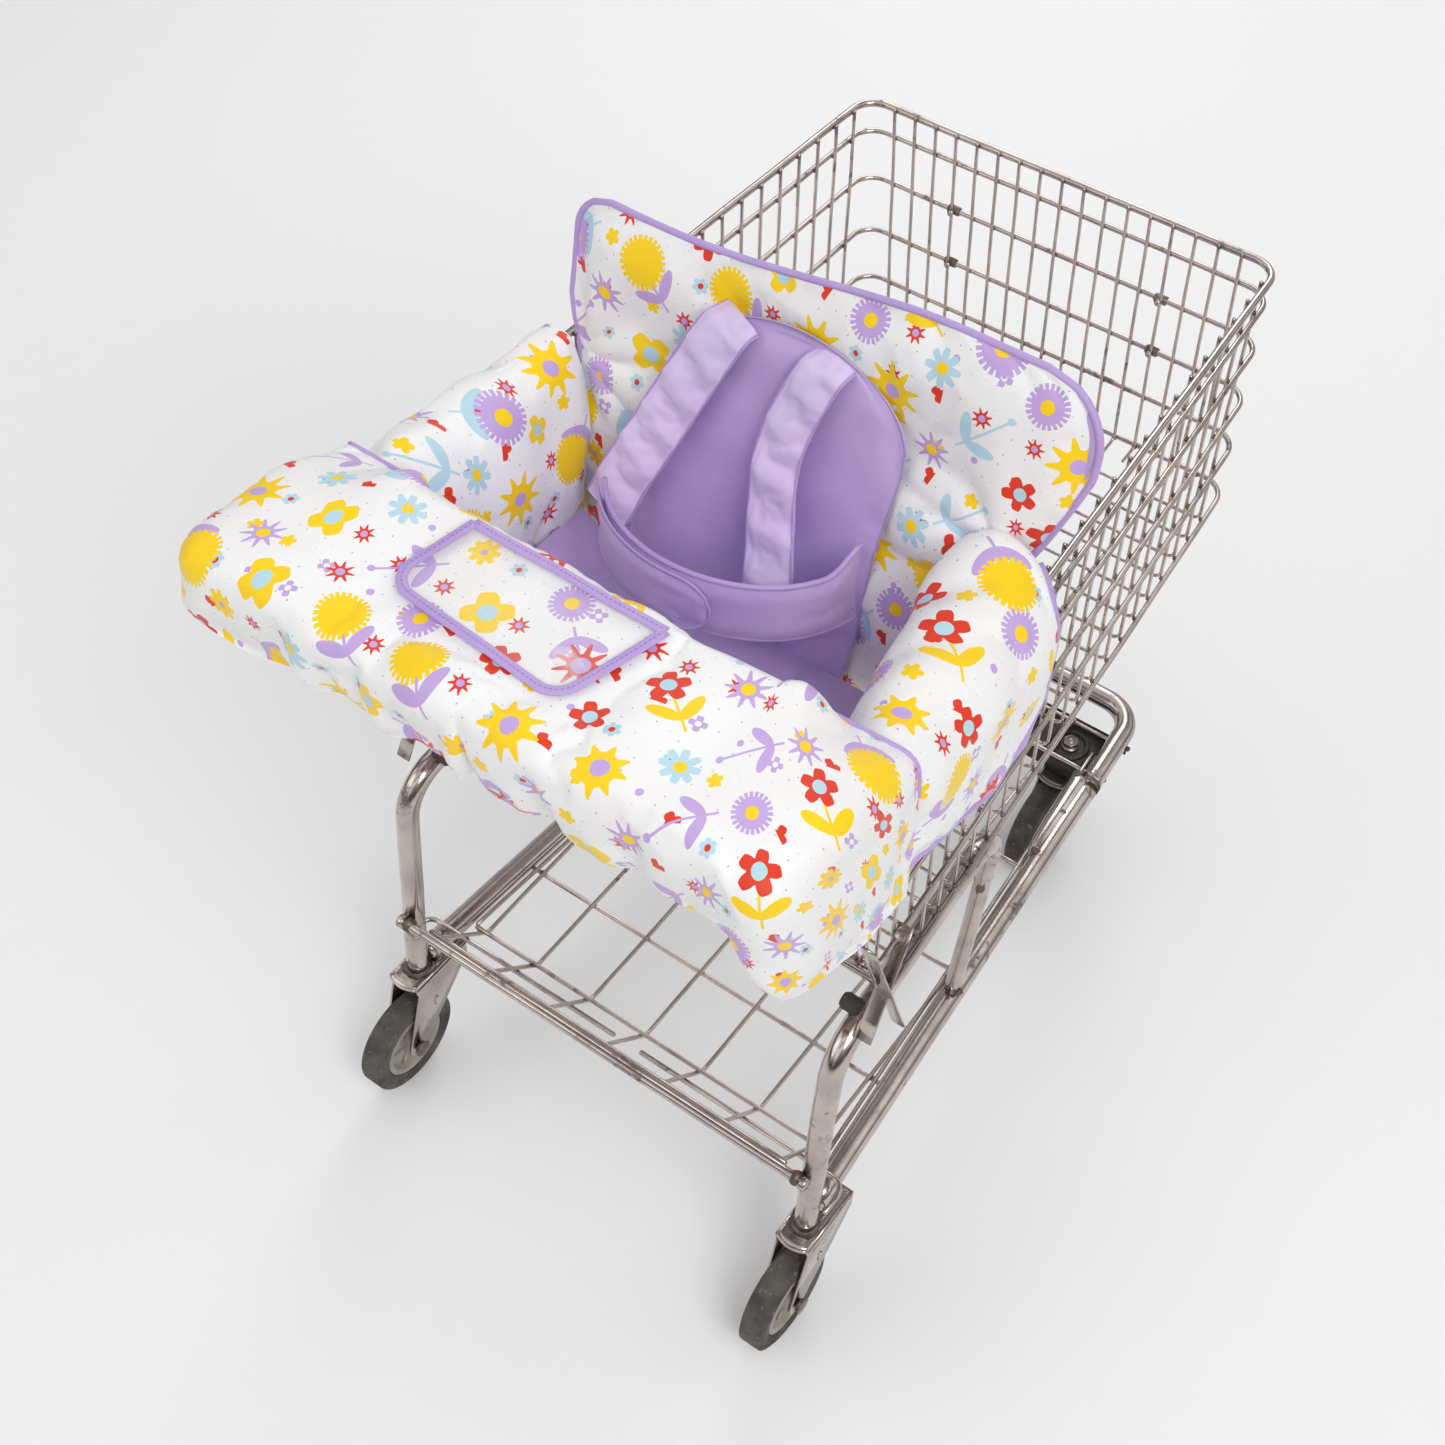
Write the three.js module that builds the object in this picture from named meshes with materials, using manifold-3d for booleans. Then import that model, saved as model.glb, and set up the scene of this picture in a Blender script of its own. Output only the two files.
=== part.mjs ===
// A wire shopping cart with a fitted, padded child-seat cover.
// Millimetres, +Z up, +X towards the nose of the basket, +Y to the cart's left.
// The whole cart is laid out with x = 0 on the rear axle line and z = 0 on the floor;
// the group at the end moves it so that the origin is under the middle of the cart.
import * as THREE from 'three';
import { mergeVertices } from 'three/addons/utils/BufferGeometryUtils.js';
import Module from 'manifold-3d';

const wasm = await Module();
wasm.setup();

// ---- Driving dimensions ----
const CENTRE_X = 378; // rear axle line to the middle of the cart's length
const GAP = 0.3; // left between pieces that are welded or pressed together
const WHEEL_RADIUS = 63.5; // 5 inch wheels, front and rear
const TYRE_WIDTH = 31;
const HUB_RADIUS = 43.3;
const AXLE_RADIUS = 5;
const AXLE_HOLE_RADIUS = 5.4;
const FORK_GAP = 34; // between the two legs of a wheel fork
const FORK_SHEET = 3;
const REAR_WHEEL_Y = 266;
const FRONT_WHEEL_X = 705;
const KINGPIN_X = 755; // the caster trails its kingpin by 50 mm
const FRONT_WHEEL_Y = 168;
const KINGPIN_RADIUS = 6;

const TUBE_RADIUS = 13; // lower frame
const TUBE_Z = 184;
const TUBE_REAR_X = 56;
const TUBE_JOINT_X = 700; // where the side tubes meet the front bow
const UPRIGHT_RADIUS = 12.5;

const RACK_Z = 179;
const RACK_PITCH = 76.9;
const RACK_REAR_X = 112;
const RACK_FRONT_X = 790;
const RACK_CROSS_X = [216, 386, 556, 726];
const REAR_ROD = { x: 26, z: 272, radius: 5.5 };

const WIRE = 3.6; // upright basket wires
const WIRE_SHEET = 4; // thickness of a wire panel
const RIM_RADIUS = 4;
const HOOP_RADIUS = 3;
const FRONT_PITCH = 25.4; // 1 inch
const FRONT_WIRES = 17;
const SIDE_PITCH = 31.8;
const RIM = { z: 881, slope: 0.025 }; // height at the nose, and fall per mm towards the rear
const HOOPS = [
  { z: 846, slope: 0.033 },
  { z: 783, slope: 0.045 },
  { z: 710, slope: 0.06 },
  { z: 641, slope: 0.08 },
  { z: 565, slope: 0.094 },
];
const FLOOR_HOOP = HOOPS[HOOPS.length - 1];

const GATE_HINGE = { x: 14, z: 869, radius: 4 };
const GATE_LENGTH = 377;
const GATE_DOWN = new THREE.Vector3(0.3234, 0, -0.9463); // along the gate, away from its hinge
const GATE_SHEET = 5;
const HINGE_STANDOFF = 12; // seat hinges, in front of the gate
const SEAT_HINGE_DOWN = 297;
const PAN_HINGE_DOWN = 230;
const PAN_REACH = 179;

const SEAT_FACE = { x: 305, z: 640 }; // bottom of the padded back's face
const SEAT_LEAN = 0.17; // forward lean of the seat back, mm per mm of height
const PAD = 20;

const HANDLE = { x: -76, z: 925, radius: 14 };
const DRAPE_REAR_X = -112.4;
const DRAPE_HALF_WIDTH = 303;

// ---- Geometry helpers ----
const point = (x, y, z) => new THREE.Vector3(x, y, z);
const degrees = (angle) => (angle * Math.PI) / 180;

// A path through given points, which ExtrudeGeometry can sweep a section along.
class RodPath extends THREE.Curve {
  constructor(points) {
    super();
    this.points = points;
  }
  getPoint(t, target = new THREE.Vector3()) {
    const place = Math.min(t, 1) * (this.points.length - 1);
    const index = Math.min(Math.floor(place), this.points.length - 2);
    return target.lerpVectors(this.points[index], this.points[index + 1], place - index);
  }
  getPointAt(t, target) {
    return this.getPoint(t, target);
  }
  getTangentAt(t, target = new THREE.Vector3()) {
    const last = this.points.length - 1;
    const index = Math.round(t * last);
    const direction = (from) => this.points[from + 1].clone().sub(this.points[from]).normalize();
    target.set(0, 0, 0);
    if (index > 0) target.add(direction(index - 1));
    if (index < last) target.add(direction(index));
    return target.normalize();
  }
}

// Rounds every inner corner of a line of points with an arc.
function bent(points, radius, segments = 3) {
  const path = [points[0]];
  for (let i = 1; i < points.length - 1; i += 1) {
    const corner = points[i];
    const back = points[i - 1].clone().sub(corner).normalize();
    const ahead = points[i + 1].clone().sub(corner).normalize();
    const half = back.angleTo(ahead) / 2;
    const middle = back.clone().add(ahead).normalize();
    const centre = corner.clone().addScaledVector(middle, radius / Math.sin(half));
    const reach = radius / Math.tan(half);
    const start = corner.clone().addScaledVector(back, reach).sub(centre);
    const end = corner.clone().addScaledVector(ahead, reach).sub(centre);
    const turn = start.angleTo(end);
    for (let k = 0; k <= segments; k += 1) {
      const part = k / segments;
      const step = centre.clone();
      step.addScaledVector(start, Math.sin((1 - part) * turn) / Math.sin(turn));
      step.addScaledVector(end, Math.sin(part * turn) / Math.sin(turn));
      path.push(step);
    }
  }
  path.push(points[points.length - 1]);
  return path;
}

function circle(radius, sides) {
  const shape = new THREE.Shape();
  for (let i = 0; i < sides; i += 1) {
    const angle = (i / sides) * 2 * Math.PI;
    const place = [radius * Math.cos(angle), radius * Math.sin(angle)];
    if (i === 0) shape.moveTo(...place);
    else shape.lineTo(...place);
  }
  shape.closePath();
  return shape;
}

function rod(points, radius, sides = 6) {
  return new THREE.ExtrudeGeometry(circle(radius, sides), {
    extrudePath: new RodPath(points),
    steps: points.length - 1,
    bevelEnabled: false,
  });
}

function shapeOf(corners) {
  return new THREE.Shape(corners.map(([u, v]) => new THREE.Vector2(u, v)));
}

// A flat sheet of an outline with holes, centred on its own plane. Each hole is nudged by less
// than NUDGE, because the triangulation drops a corner that is in line with other holes' corners.
const NUDGE = 0.15;
function sheet(outline, thickness, holes = [], curveSegments = 4) {
  const shape = Array.isArray(outline) ? shapeOf(outline) : outline;
  holes.forEach((hole, i) => {
    const across = NUDGE * Math.sin(i * i);
    const up = NUDGE * Math.cos(i * i);
    shape.holes.push(shapeOf(hole.map(([u, v]) => [u + across, v + up])));
  });
  const geometry = new THREE.ExtrudeGeometry(shape, {
    depth: thickness,
    bevelEnabled: false,
    curveSegments,
  });
  return geometry.translate(0, 0, -thickness / 2);
}

// Stands a flat sheet in space: its u and v axes go along the given directions.
function stand(geometry, origin, along, up) {
  const normal = along.clone().cross(up).normalize();
  const matrix = new THREE.Matrix4().makeBasis(along, up, normal);
  return geometry.applyMatrix4(matrix.setPosition(origin));
}

// A ring or solid of revolution about the Y axis, from [radius, height] corners.
function turned(profile, segments) {
  return new THREE.LatheGeometry(profile.map(([r, y]) => new THREE.Vector2(r, y)), segments);
}

function box(low, high) {
  const size = high.map((value, i) => value - low[i]);
  const middle = high.map((value, i) => (value + low[i]) / 2);
  return new THREE.BoxGeometry(...size).translate(...middle);
}

function solidOf(geometry) {
  const bare = geometry.clone();
  bare.deleteAttribute('normal');
  bare.deleteAttribute('uv');
  const merged = mergeVertices(bare, 1e-4);
  return new wasm.Manifold(
    new wasm.Mesh({
      numProp: 3,
      vertProperties: new Float32Array(merged.attributes.position.array),
      triVerts: new Uint32Array(merged.index.array),
    }),
  );
}

function geometryOf(solid) {
  const mesh = solid.getMesh();
  const geometry = new THREE.BufferGeometry();
  geometry.setAttribute('position', new THREE.BufferAttribute(mesh.vertProperties, 3));
  geometry.setIndex(new THREE.BufferAttribute(mesh.triVerts, 1));
  return geometry;
}

const joined = (...parts) => geometryOf(parts.map(solidOf).reduce((sum, part) => sum.add(part)));
const cut = (body, ...tools) =>
  geometryOf(tools.map(solidOf).reduce((sum, tool) => sum.subtract(tool), solidOf(body)));

// ---- Materials ----
const finish = (color, roughness, metalness) =>
  new THREE.MeshStandardMaterial({ color, roughness, metalness });
const CHROME = () => finish(0xb4afa8, 0.35, 1);
const ZINC = () => finish(0x8f8a83, 0.5, 1);
const BLACK_STEEL = () => finish(0x2b2724, 0.6, 0.6);
const RUBBER = () => finish(0x35312e, 0.85, 0);
const HUB_PLASTIC = () => finish(0xa9a49b, 0.55, 0);
const PRINT = () => finish(0xf3f0ea, 0.5, 0);
const LAVENDER = () => finish(0xb79ad8, 0.6, 0);
const PALE_LAVENDER = () => finish(0xcdb2e2, 0.6, 0);
const HANDLE_PLASTIC = () => finish(0xb3221d, 0.45, 0);
const PAN_PLASTIC = () => finish(0x6f6f72, 0.5, 0);
const CLEAR_VINYL = () => finish(0xe6ecf0, 0.1, 0);

const cart = new THREE.Group();
cart.position.x = -CENTRE_X;

function add(name, geometry, material) {
  const mesh = new THREE.Mesh(geometry, material());
  mesh.name = name;
  cart.add(mesh);
  return mesh;
}

const SIDES = [
  { word: 'left', sign: 1 },
  { word: 'right', sign: -1 },
];

// ---- Wheels and forks ----
function tyre() {
  const half = TYRE_WIDTH / 2;
  const inner = HUB_RADIUS + 0.7;
  return turned(
    [
      [inner, -half],
      [WHEEL_RADIUS - 5, -half],
      [WHEEL_RADIUS, 5 - half],
      [WHEEL_RADIUS, half - 5],
      [WHEEL_RADIUS - 5, half],
      [inner, half],
      [inner, -half],
    ],
    24,
  );
}

function hub() {
  const bore = AXLE_RADIUS + GAP;
  return turned(
    [
      [bore, -15],
      [14, -15],
      [14, -5],
      [34, -5],
      [34, -13],
      [HUB_RADIUS, -13],
      [HUB_RADIUS, 13],
      [34, 13],
      [34, 5],
      [14, 5],
      [14, 15],
      [bore, 15],
      [bore, -15],
    ],
    16,
  );
}

function axleBolt() {
  const shoulder = FORK_GAP / 2 + FORK_SHEET + GAP;
  const end = shoulder + 5;
  return turned(
    [
      [0, -end],
      [8.5, -end],
      [8.5, -shoulder],
      [AXLE_RADIUS, -shoulder],
      [AXLE_RADIUS, shoulder],
      [8.5, shoulder],
      [8.5, end],
      [0, end],
    ],
    12,
  );
}

// A pressed fork: a flat top plate with two raked legs down to the axle at the origin.
function fork(rear, front, top, holeX = null) {
  const tip = 14;
  const leg = new THREE.Shape();
  leg.moveTo(rear, top);
  leg.lineTo(rear + 2, top - 14);
  leg.absarc(0, 0, tip, degrees(165), degrees(325), false);
  leg.lineTo(front - 2, top - 16);
  leg.lineTo(front, top);
  leg.closePath();
  const legAt = (y) => sheet(leg.clone(), FORK_SHEET).rotateX(Math.PI / 2).translate(0, y, 0);
  const outer = FORK_GAP / 2 + FORK_SHEET;
  const legs = [legAt(outer - FORK_SHEET / 2), legAt(FORK_SHEET / 2 - outer)];
  const plate = box([rear, -outer, top - FORK_SHEET], [front, outer, top]);
  const holes = [new THREE.CylinderGeometry(AXLE_HOLE_RADIUS, AXLE_HOLE_RADIUS, 60, 12)];
  if (holeX !== null) {
    const radius = KINGPIN_RADIUS + 0.4;
    const bore = new THREE.CylinderGeometry(radius, radius, 20, 12).rotateX(Math.PI / 2);
    holes.push(bore.translate(holeX, 0, top));
  }
  return cut(joined(plate, ...legs), ...holes);
}

function addWheel(end, word, x, y) {
  const place = (mesh) => mesh.position.set(x, y, WHEEL_RADIUS);
  place(add(`${end}_tyre_${word}`, tyre(), RUBBER));
  place(add(`${end}_hub_${word}`, hub(), HUB_PLASTIC));
  place(add(`${end}_axle_${word}`, axleBolt(), ZINC));
}

const REAR_FORK_TOP = 168;
const FRONT_FORK_TOP = 136;
const CHANNEL = { rear: 724, front: 800, low: 150, high: 170, halfWidth: 225 };

for (const { word, sign } of SIDES) {
  addWheel('rear', word, 0, sign * REAR_WHEEL_Y);
  add(`rear_fork_${word}`, fork(11, 96, REAR_FORK_TOP - WHEEL_RADIUS), CHROME).position.set(
    0,
    sign * REAR_WHEEL_Y,
    WHEEL_RADIUS,
  );

  const y = sign * FRONT_WHEEL_Y;
  const trail = KINGPIN_X - FRONT_WHEEL_X;
  addWheel('front', word, FRONT_WHEEL_X, y);
  const swivelFork = fork(trail - 36, trail + 34, FRONT_FORK_TOP - WHEEL_RADIUS, trail);
  add(`front_fork_${word}`, swivelFork, ZINC).position.set(FRONT_WHEEL_X, y, WHEEL_RADIUS);

  const race = turned(
    [
      [KINGPIN_RADIUS + 0.4, 0],
      [22, 0],
      [27, 8],
      [27, 16],
      [20, 30.4],
      [KINGPIN_RADIUS + 0.4, 30.4],
      [KINGPIN_RADIUS + 0.4, 0],
    ],
    16,
  );
  race.rotateX(Math.PI / 2).translate(KINGPIN_X, y, FRONT_FORK_TOP + GAP);
  add(`swivel_bearing_${word}`, race, BLACK_STEEL);

  const kingpin = turned(
    [
      [0, 124],
      [11, 124],
      [11, 132.5],
      [KINGPIN_RADIUS, 132.5],
      [KINGPIN_RADIUS, 170.6],
      [10, 170.6],
      [10, 178],
      [0, 178],
    ],
    12,
  );
  add(`kingpin_${word}`, kingpin.rotateX(Math.PI / 2).translate(KINGPIN_X, y, 0), ZINC);
}

function casterChannel() {
  const { rear, front, low, high, halfWidth } = CHANNEL;
  const web = box([rear, -halfWidth, high - 3], [front, halfWidth, high]);
  const flanges = [rear, front - 3].map((x) =>
    box([x, -halfWidth, low], [x + 3, halfWidth, high]),
  );
  const radius = KINGPIN_RADIUS + 0.4;
  const bores = SIDES.map(({ sign }) =>
    new THREE.CylinderGeometry(radius, radius, 20, 12)
      .rotateX(Math.PI / 2)
      .translate(KINGPIN_X, sign * FRONT_WHEEL_Y, high),
  );
  return cut(joined(web, ...flanges), ...bores);
}
add('caster_channel', casterChannel(), BLACK_STEEL);

// ---- Lower frame ----
const tubeY = (x) => 260.5 - (x - 102) * 0.0646;
const bowCorner = { x: 835, y: 213.6 };

for (const { word, sign } of SIDES) {
  const ends = [TUBE_REAR_X, TUBE_JOINT_X].map((x) => point(x, sign * tubeY(x), TUBE_Z));
  add(`frame_tube_${word}`, rod(ends, TUBE_RADIUS, 12), CHROME);
}
const bowStart = TUBE_JOINT_X + 0.6;
const bowLine = [
  point(bowStart, tubeY(bowStart), TUBE_Z),
  point(bowCorner.x, bowCorner.y, TUBE_Z),
  point(bowCorner.x, -bowCorner.y, TUBE_Z),
  point(bowStart, -tubeY(bowStart), TUBE_Z),
];
add('front_bow', rod(bent(bowLine, 42, 4), TUBE_RADIUS, 12), CHROME);

// ---- Rear uprights: up from the fork, forward under the basket, and down to the frame ----
for (const { word, sign } of SIDES) {
  const line = [
    point(35, sign * 266, REAR_FORK_TOP + 1.6),
    point(63, sign * 265, 471),
    point(384, sign * 256, 502),
    point(352, sign * 245, 199.6),
  ];
  add(`rear_upright_${word}`, rod(bent(line, 52, 4), UPRIGHT_RADIUS, 10), CHROME);
}
const rearRodEnds = [-262, 262].map((y) => point(REAR_ROD.x, y, REAR_ROD.z));
add('rear_rod', rod(rearRodEnds, REAR_ROD.radius, 8), CHROME);
for (const { word, sign } of SIDES) {
  const line = [point(80, sign * 17, 204.6), point(80, sign * 284, 204.6), point(40, sign * 284, 204.6)];
  add(`hook_wire_${word}`, rod(bent(line, 16), 3), CHROME);
}

// ---- Bottom rack: a deck of wires between the tubes, with a raised rear end ----
function bottomRack() {
  const edge = (x) => tubeY(x) - TUBE_RADIUS - 1.2;
  const strip = WIRE + 2;
  const deck = [
    [RACK_REAR_X, -edge(RACK_REAR_X)],
    [RACK_FRONT_X, -edge(RACK_FRONT_X)],
    [RACK_FRONT_X, edge(RACK_FRONT_X)],
    [RACK_REAR_X, edge(RACK_REAR_X)],
  ];
  const lines = [RACK_REAR_X + 3, ...RACK_CROSS_X, RACK_FRONT_X - 3];
  const holes = [];
  for (let row = 0; row < lines.length - 1; row += 1) {
    const x0 = lines[row] + WIRE / 2;
    const x1 = lines[row + 1] - WIRE / 2;
    for (let k = -3; k < 3; k += 1) {
      const side = (index, x) => {
        if (Math.abs(index) === 3) return Math.sign(index) * (edge(x) - strip);
        return index * RACK_PITCH;
      };
      const low = (x) => side(k, x) + WIRE / 2;
      const high = (x) => side(k + 1, x) - WIRE / 2;
      holes.push([[x0, low(x0)], [x1, low(x1)], [x1, high(x1)], [x0, high(x0)]]);
    }
  }
  const flat = sheet(deck, 5, holes).translate(0, 0, RACK_Z);

  const half = 3 * RACK_PITCH + 4;
  const rise = point(33 - 113, 0, 263 - 178.5);
  const length = rise.length();
  const slots = [];
  for (let k = -3; k < 3; k += 1) {
    const low = k * RACK_PITCH + WIRE / 2;
    const high = (k + 1) * RACK_PITCH - WIRE / 2;
    slots.push([[low, 8], [high, 8], [high, length - 6], [low, length - 6]]);
  }
  const ramp = [[-half, 0], [half, 0], [half, length], [-half, length]];
  const back = stand(sheet(ramp, 5, slots), point(113, 0, 178.5), point(0, 1, 0), rise.normalize());
  return joined(flat, back);
}
add('bottom_rack', bottomRack(), CHROME);

// ---- Basket ----
const RIM_OFFSET = WIRE_SHEET / 2 + RIM_RADIUS + 0.4;
const HOOP_OFFSET = WIRE_SHEET / 2 + HOOP_RADIUS + 0.4;
const SIDE_TAPER = 0.05;
const frontX = (z) => 834 + (RIM.z - z) * 0.0822; // wires of the front panel
const sideY = (x) => 234.6 + (855 - x) * SIDE_TAPER; // wires of the side panels
const hoopZ = (hoop, x) => hoop.z - (frontX(hoop.z) - x) * hoop.slope;

function basketHoop(hoop, offset, radius, rearX) {
  const nose = frontX(hoop.z) + offset;
  const side = (x, sign) => point(x, sign * (sideY(x) + offset), hoopZ(hoop, x));
  const line = [side(rearX, 1), side(nose, 1), side(nose, -1), side(rearX, -1)];
  return rod(bent(line, 27, 3), radius);
}

// The rear end of the side panels leans like the gate.
const SIDE_REAR = { top: 10, bottom: 128 };
const sideRearX = (z) => {
  const high = hoopZ(RIM, SIDE_REAR.top);
  const low = hoopZ(FLOOR_HOOP, SIDE_REAR.bottom);
  return SIDE_REAR.top + ((high - z) / (high - low)) * (SIDE_REAR.bottom - SIDE_REAR.top);
};

add('basket_rim', basketHoop(RIM, RIM_OFFSET, RIM_RADIUS, SIDE_REAR.top - 6), CHROME);
HOOPS.forEach((hoop, index) => {
  const rear = sideRearX(hoopZ(hoop, 60));
  add(`basket_hoop_${index + 1}`, basketHoop(hoop, HOOP_OFFSET, HOOP_RADIUS, rear), CHROME);
});

function frontPanel() {
  const lean = point(frontX(1) - frontX(0), 0, 1).normalize();
  const low = point(frontX(FLOOR_HOOP.z), 0, FLOOR_HOOP.z);
  const height = point(frontX(RIM.z), 0, RIM.z).distanceTo(low);
  const half = ((FRONT_WIRES - 1) / 2) * FRONT_PITCH;
  const edge = half + WIRE / 2;
  const outline = [[-edge, -3], [edge, -3], [edge, height], [-edge, height]];
  const holes = [];
  for (let i = 0; i < FRONT_WIRES - 1; i += 1) {
    const left = -half + i * FRONT_PITCH + WIRE / 2;
    const right = left + FRONT_PITCH - WIRE;
    holes.push([[left, 1], [right, 1], [right, height - 4], [left, height - 4]]);
  }
  return stand(sheet(outline, WIRE_SHEET, holes), low, point(0, 1, 0), lean);
}
add('basket_front', frontPanel(), CHROME);

function sidePanel(sign) {
  const top = (x) => hoopZ(RIM, x);
  const bottom = (x) => hoopZ(FLOOR_HOOP, x) - 2.5;
  const slope = (top(SIDE_REAR.top) - bottom(SIDE_REAR.bottom)) / (SIDE_REAR.bottom - SIDE_REAR.top);
  const rearEdge = (x) => top(SIDE_REAR.top) - (x - SIDE_REAR.top) * slope;
  const noseTop = frontX(RIM.z) - 24;
  const noseLow = frontX(FLOOR_HOOP.z) - 24;
  const outline = [
    [SIDE_REAR.top, top(SIDE_REAR.top)],
    [SIDE_REAR.bottom, bottom(SIDE_REAR.bottom)],
    [noseLow, bottom(noseLow)],
    [noseTop, top(noseTop)],
  ];
  const holes = [];
  const first = noseTop - WIRE;
  for (let k = 0; first - (k + 1) * SIDE_PITCH > SIDE_REAR.top + 10; k += 1) {
    const x1 = first - k * SIDE_PITCH;
    const x0 = x1 - SIDE_PITCH + WIRE;
    const low = (x) => Math.max(bottom(x) + 4.5, rearEdge(x) + 16);
    holes.push([[x0, low(x0)], [x1, low(x1)], [x1, top(x1) - 4], [x0, top(x0) - 4]]);
  }
  const origin = point(0, sign * sideY(0), 0);
  const along = point(1, -sign * SIDE_TAPER, 0);
  return stand(sheet(outline, WIRE_SHEET, holes), origin, along, point(0, 0, 1));
}
for (const { word, sign } of SIDES) {
  add(`basket_side_${word}`, sidePanel(sign), CHROME);
}

function basketFloor() {
  const rear = 138;
  const nose = frontX(FLOOR_HOOP.z) - 8;
  const edge = (x) => sideY(x) - WIRE_SHEET / 2 - 0.8;
  const outline = [[rear, -edge(rear)], [nose, -edge(nose)], [nose, edge(nose)], [rear, edge(rear)]];
  const holes = [];
  for (let x = rear + 5; x + SIDE_PITCH < nose; x += SIDE_PITCH) {
    const end = x + SIDE_PITCH - WIRE;
    const side = (index, at) => (Math.abs(index) === 1.5 ? Math.sign(index) * (edge(at) - 4) : index * 155);
    for (const index of [-1.5, -0.5, 0.5]) {
      const low = (at) => side(index, at) + WIRE / 2;
      const high = (at) => side(index + 1, at) - WIRE / 2;
      holes.push([[x, low(x)], [end, low(end)], [end, high(end)], [x, high(x)]]);
    }
  }
  const origin = point(0, 0, hoopZ(FLOOR_HOOP, 0) + 1);
  return stand(sheet(outline, WIRE_SHEET, holes), origin, point(1, 0, FLOOR_HOOP.slope), point(0, 1, 0));
}
add('basket_floor', basketFloor(), CHROME);

const crossRodZ = hoopZ(FLOOR_HOOP, 152) - 9;
add(
  'basket_cross_rod',
  rod([point(152, -246, crossRodZ), point(152, 246, crossRodZ)], 4, 8),
  CHROME,
);

// ---- Handle ----
const BRACKET_Y = 288.5;
const handleEnds = [0.5 - BRACKET_Y, BRACKET_Y - 0.5].map((y) => point(HANDLE.x, y, HANDLE.z));
add('handle_bar', rod(handleEnds, HANDLE.radius, 12), HANDLE_PLASTIC);
for (const { word, sign } of SIDES) {
  const arm = new THREE.Shape();
  arm.moveTo(30, 836);
  arm.lineTo(30, 872);
  arm.absarc(HANDLE.x, HANDLE.z, 15, degrees(60), degrees(230), false);
  arm.closePath();
  const plate = sheet(arm, 4, [], 6).rotateX(Math.PI / 2);
  add(`handle_bracket_${word}`, plate.translate(0, sign * (BRACKET_Y + 2), 0), CHROME);
}

// ---- Rear gate ----
const gateUp = GATE_DOWN.clone().negate();
const acrossY = point(0, 1, 0);
const gateNormal = acrossY.clone().cross(gateUp);
const gateHinge = point(GATE_HINGE.x, 0, GATE_HINGE.z);
const onGate = (down, standoff) =>
  gateHinge.clone().addScaledVector(GATE_DOWN, down).addScaledVector(gateNormal, standoff);
const seatHinge = onGate(SEAT_HINGE_DOWN, HINGE_STANDOFF);
const panHinge = onGate(PAN_HINGE_DOWN, HINGE_STANDOFF);

const gateRodEnds = [-284, 284].map((y) => point(GATE_HINGE.x, y, GATE_HINGE.z));
add('gate_rod', rod(gateRodEnds, GATE_HINGE.radius, 10), CHROME);

// A short sleeve round a hinge rod at the origin, lying along Y.
function knuckle(y, inner, outer, width = 10) {
  const shape = circle(outer, 10);
  shape.holes.push(circle(inner, 10));
  const sleeve = new THREE.ExtrudeGeometry(shape, { depth: width, bevelEnabled: false });
  return sleeve.translate(0, 0, -width / 2).rotateX(Math.PI / 2).translate(0, y, 0);
}

const GATE_COLUMN = 41.6;
const GATE_TOP_HALF = 262;
const GATE_LOW_HALF = 240;

function gate() {
  const half = (v) => GATE_TOP_HALF + (v / GATE_LENGTH) * (GATE_TOP_HALF - GATE_LOW_HALF);
  const top = -6.5;
  const outline = [
    [-half(-GATE_LENGTH), -GATE_LENGTH],
    [half(-GATE_LENGTH), -GATE_LENGTH],
    [half(top), top],
    [-half(top), top],
  ];
  const everyColumn = [];
  for (let k = -6; k <= 6; k += 1) everyColumn.push(k);
  const legColumns = [-6, -5, -1, 0, 1, 5, 6];
  const rows = [
    { high: -13, low: -58, columns: everyColumn },
    { high: -64, low: -215, columns: legColumns },
    { high: -221, low: 5 - GATE_LENGTH, columns: everyColumn },
  ];
  const side = (k, v) => (Math.abs(k) === 6 ? Math.sign(k) * (half(v) - 3) : k * GATE_COLUMN);
  const holes = [];
  for (const { high, low, columns } of rows) {
    for (let i = 0; i < columns.length - 1; i += 1) {
      const left = (v) => side(columns[i], v) + WIRE / 2;
      const right = (v) => side(columns[i + 1], v) - WIRE / 2;
      holes.push([[left(low), low], [right(low), low], [right(high), high], [left(high), high]]);
    }
  }
  const plate = stand(sheet(outline, GATE_SHEET, holes), gateHinge, acrossY, gateUp);
  const loops = [-200, -80, 80, 200].map((y) =>
    knuckle(y, GATE_HINGE.radius + 0.7, 9).translate(gateHinge.x, 0, gateHinge.z),
  );
  const seatRods = [seatHinge, panHinge].map(({ x, z }) =>
    rod([point(x, -208, z), point(x, 208, z)], 3.5, 8),
  );
  const blocks = [];
  for (const down of [SEAT_HINGE_DOWN, PAN_HINGE_DOWN]) {
    for (const y of [-208, 208]) {
      const block = sheet([[-4, -6], [4, -6], [4, 6], [-4, 6]], HINGE_STANDOFF + 5);
      const origin = onGate(down, HINGE_STANDOFF / 2 + 2).add(point(0, y, 0));
      blocks.push(stand(block, origin, acrossY, gateUp));
    }
  }
  return joined(plate, ...loops, ...seatRods, ...blocks);
}
add('rear_gate', gate(), CHROME);

// ---- Child seat ----
const seatUp = point(SEAT_LEAN, 0, 1).normalize();
const seatNormal = acrossY.clone().cross(seatUp);
const onSeat = (up, depth) =>
  point(SEAT_FACE.x, 0, SEAT_FACE.z).addScaledVector(seatUp, up).addScaledVector(seatNormal, depth);

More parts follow.
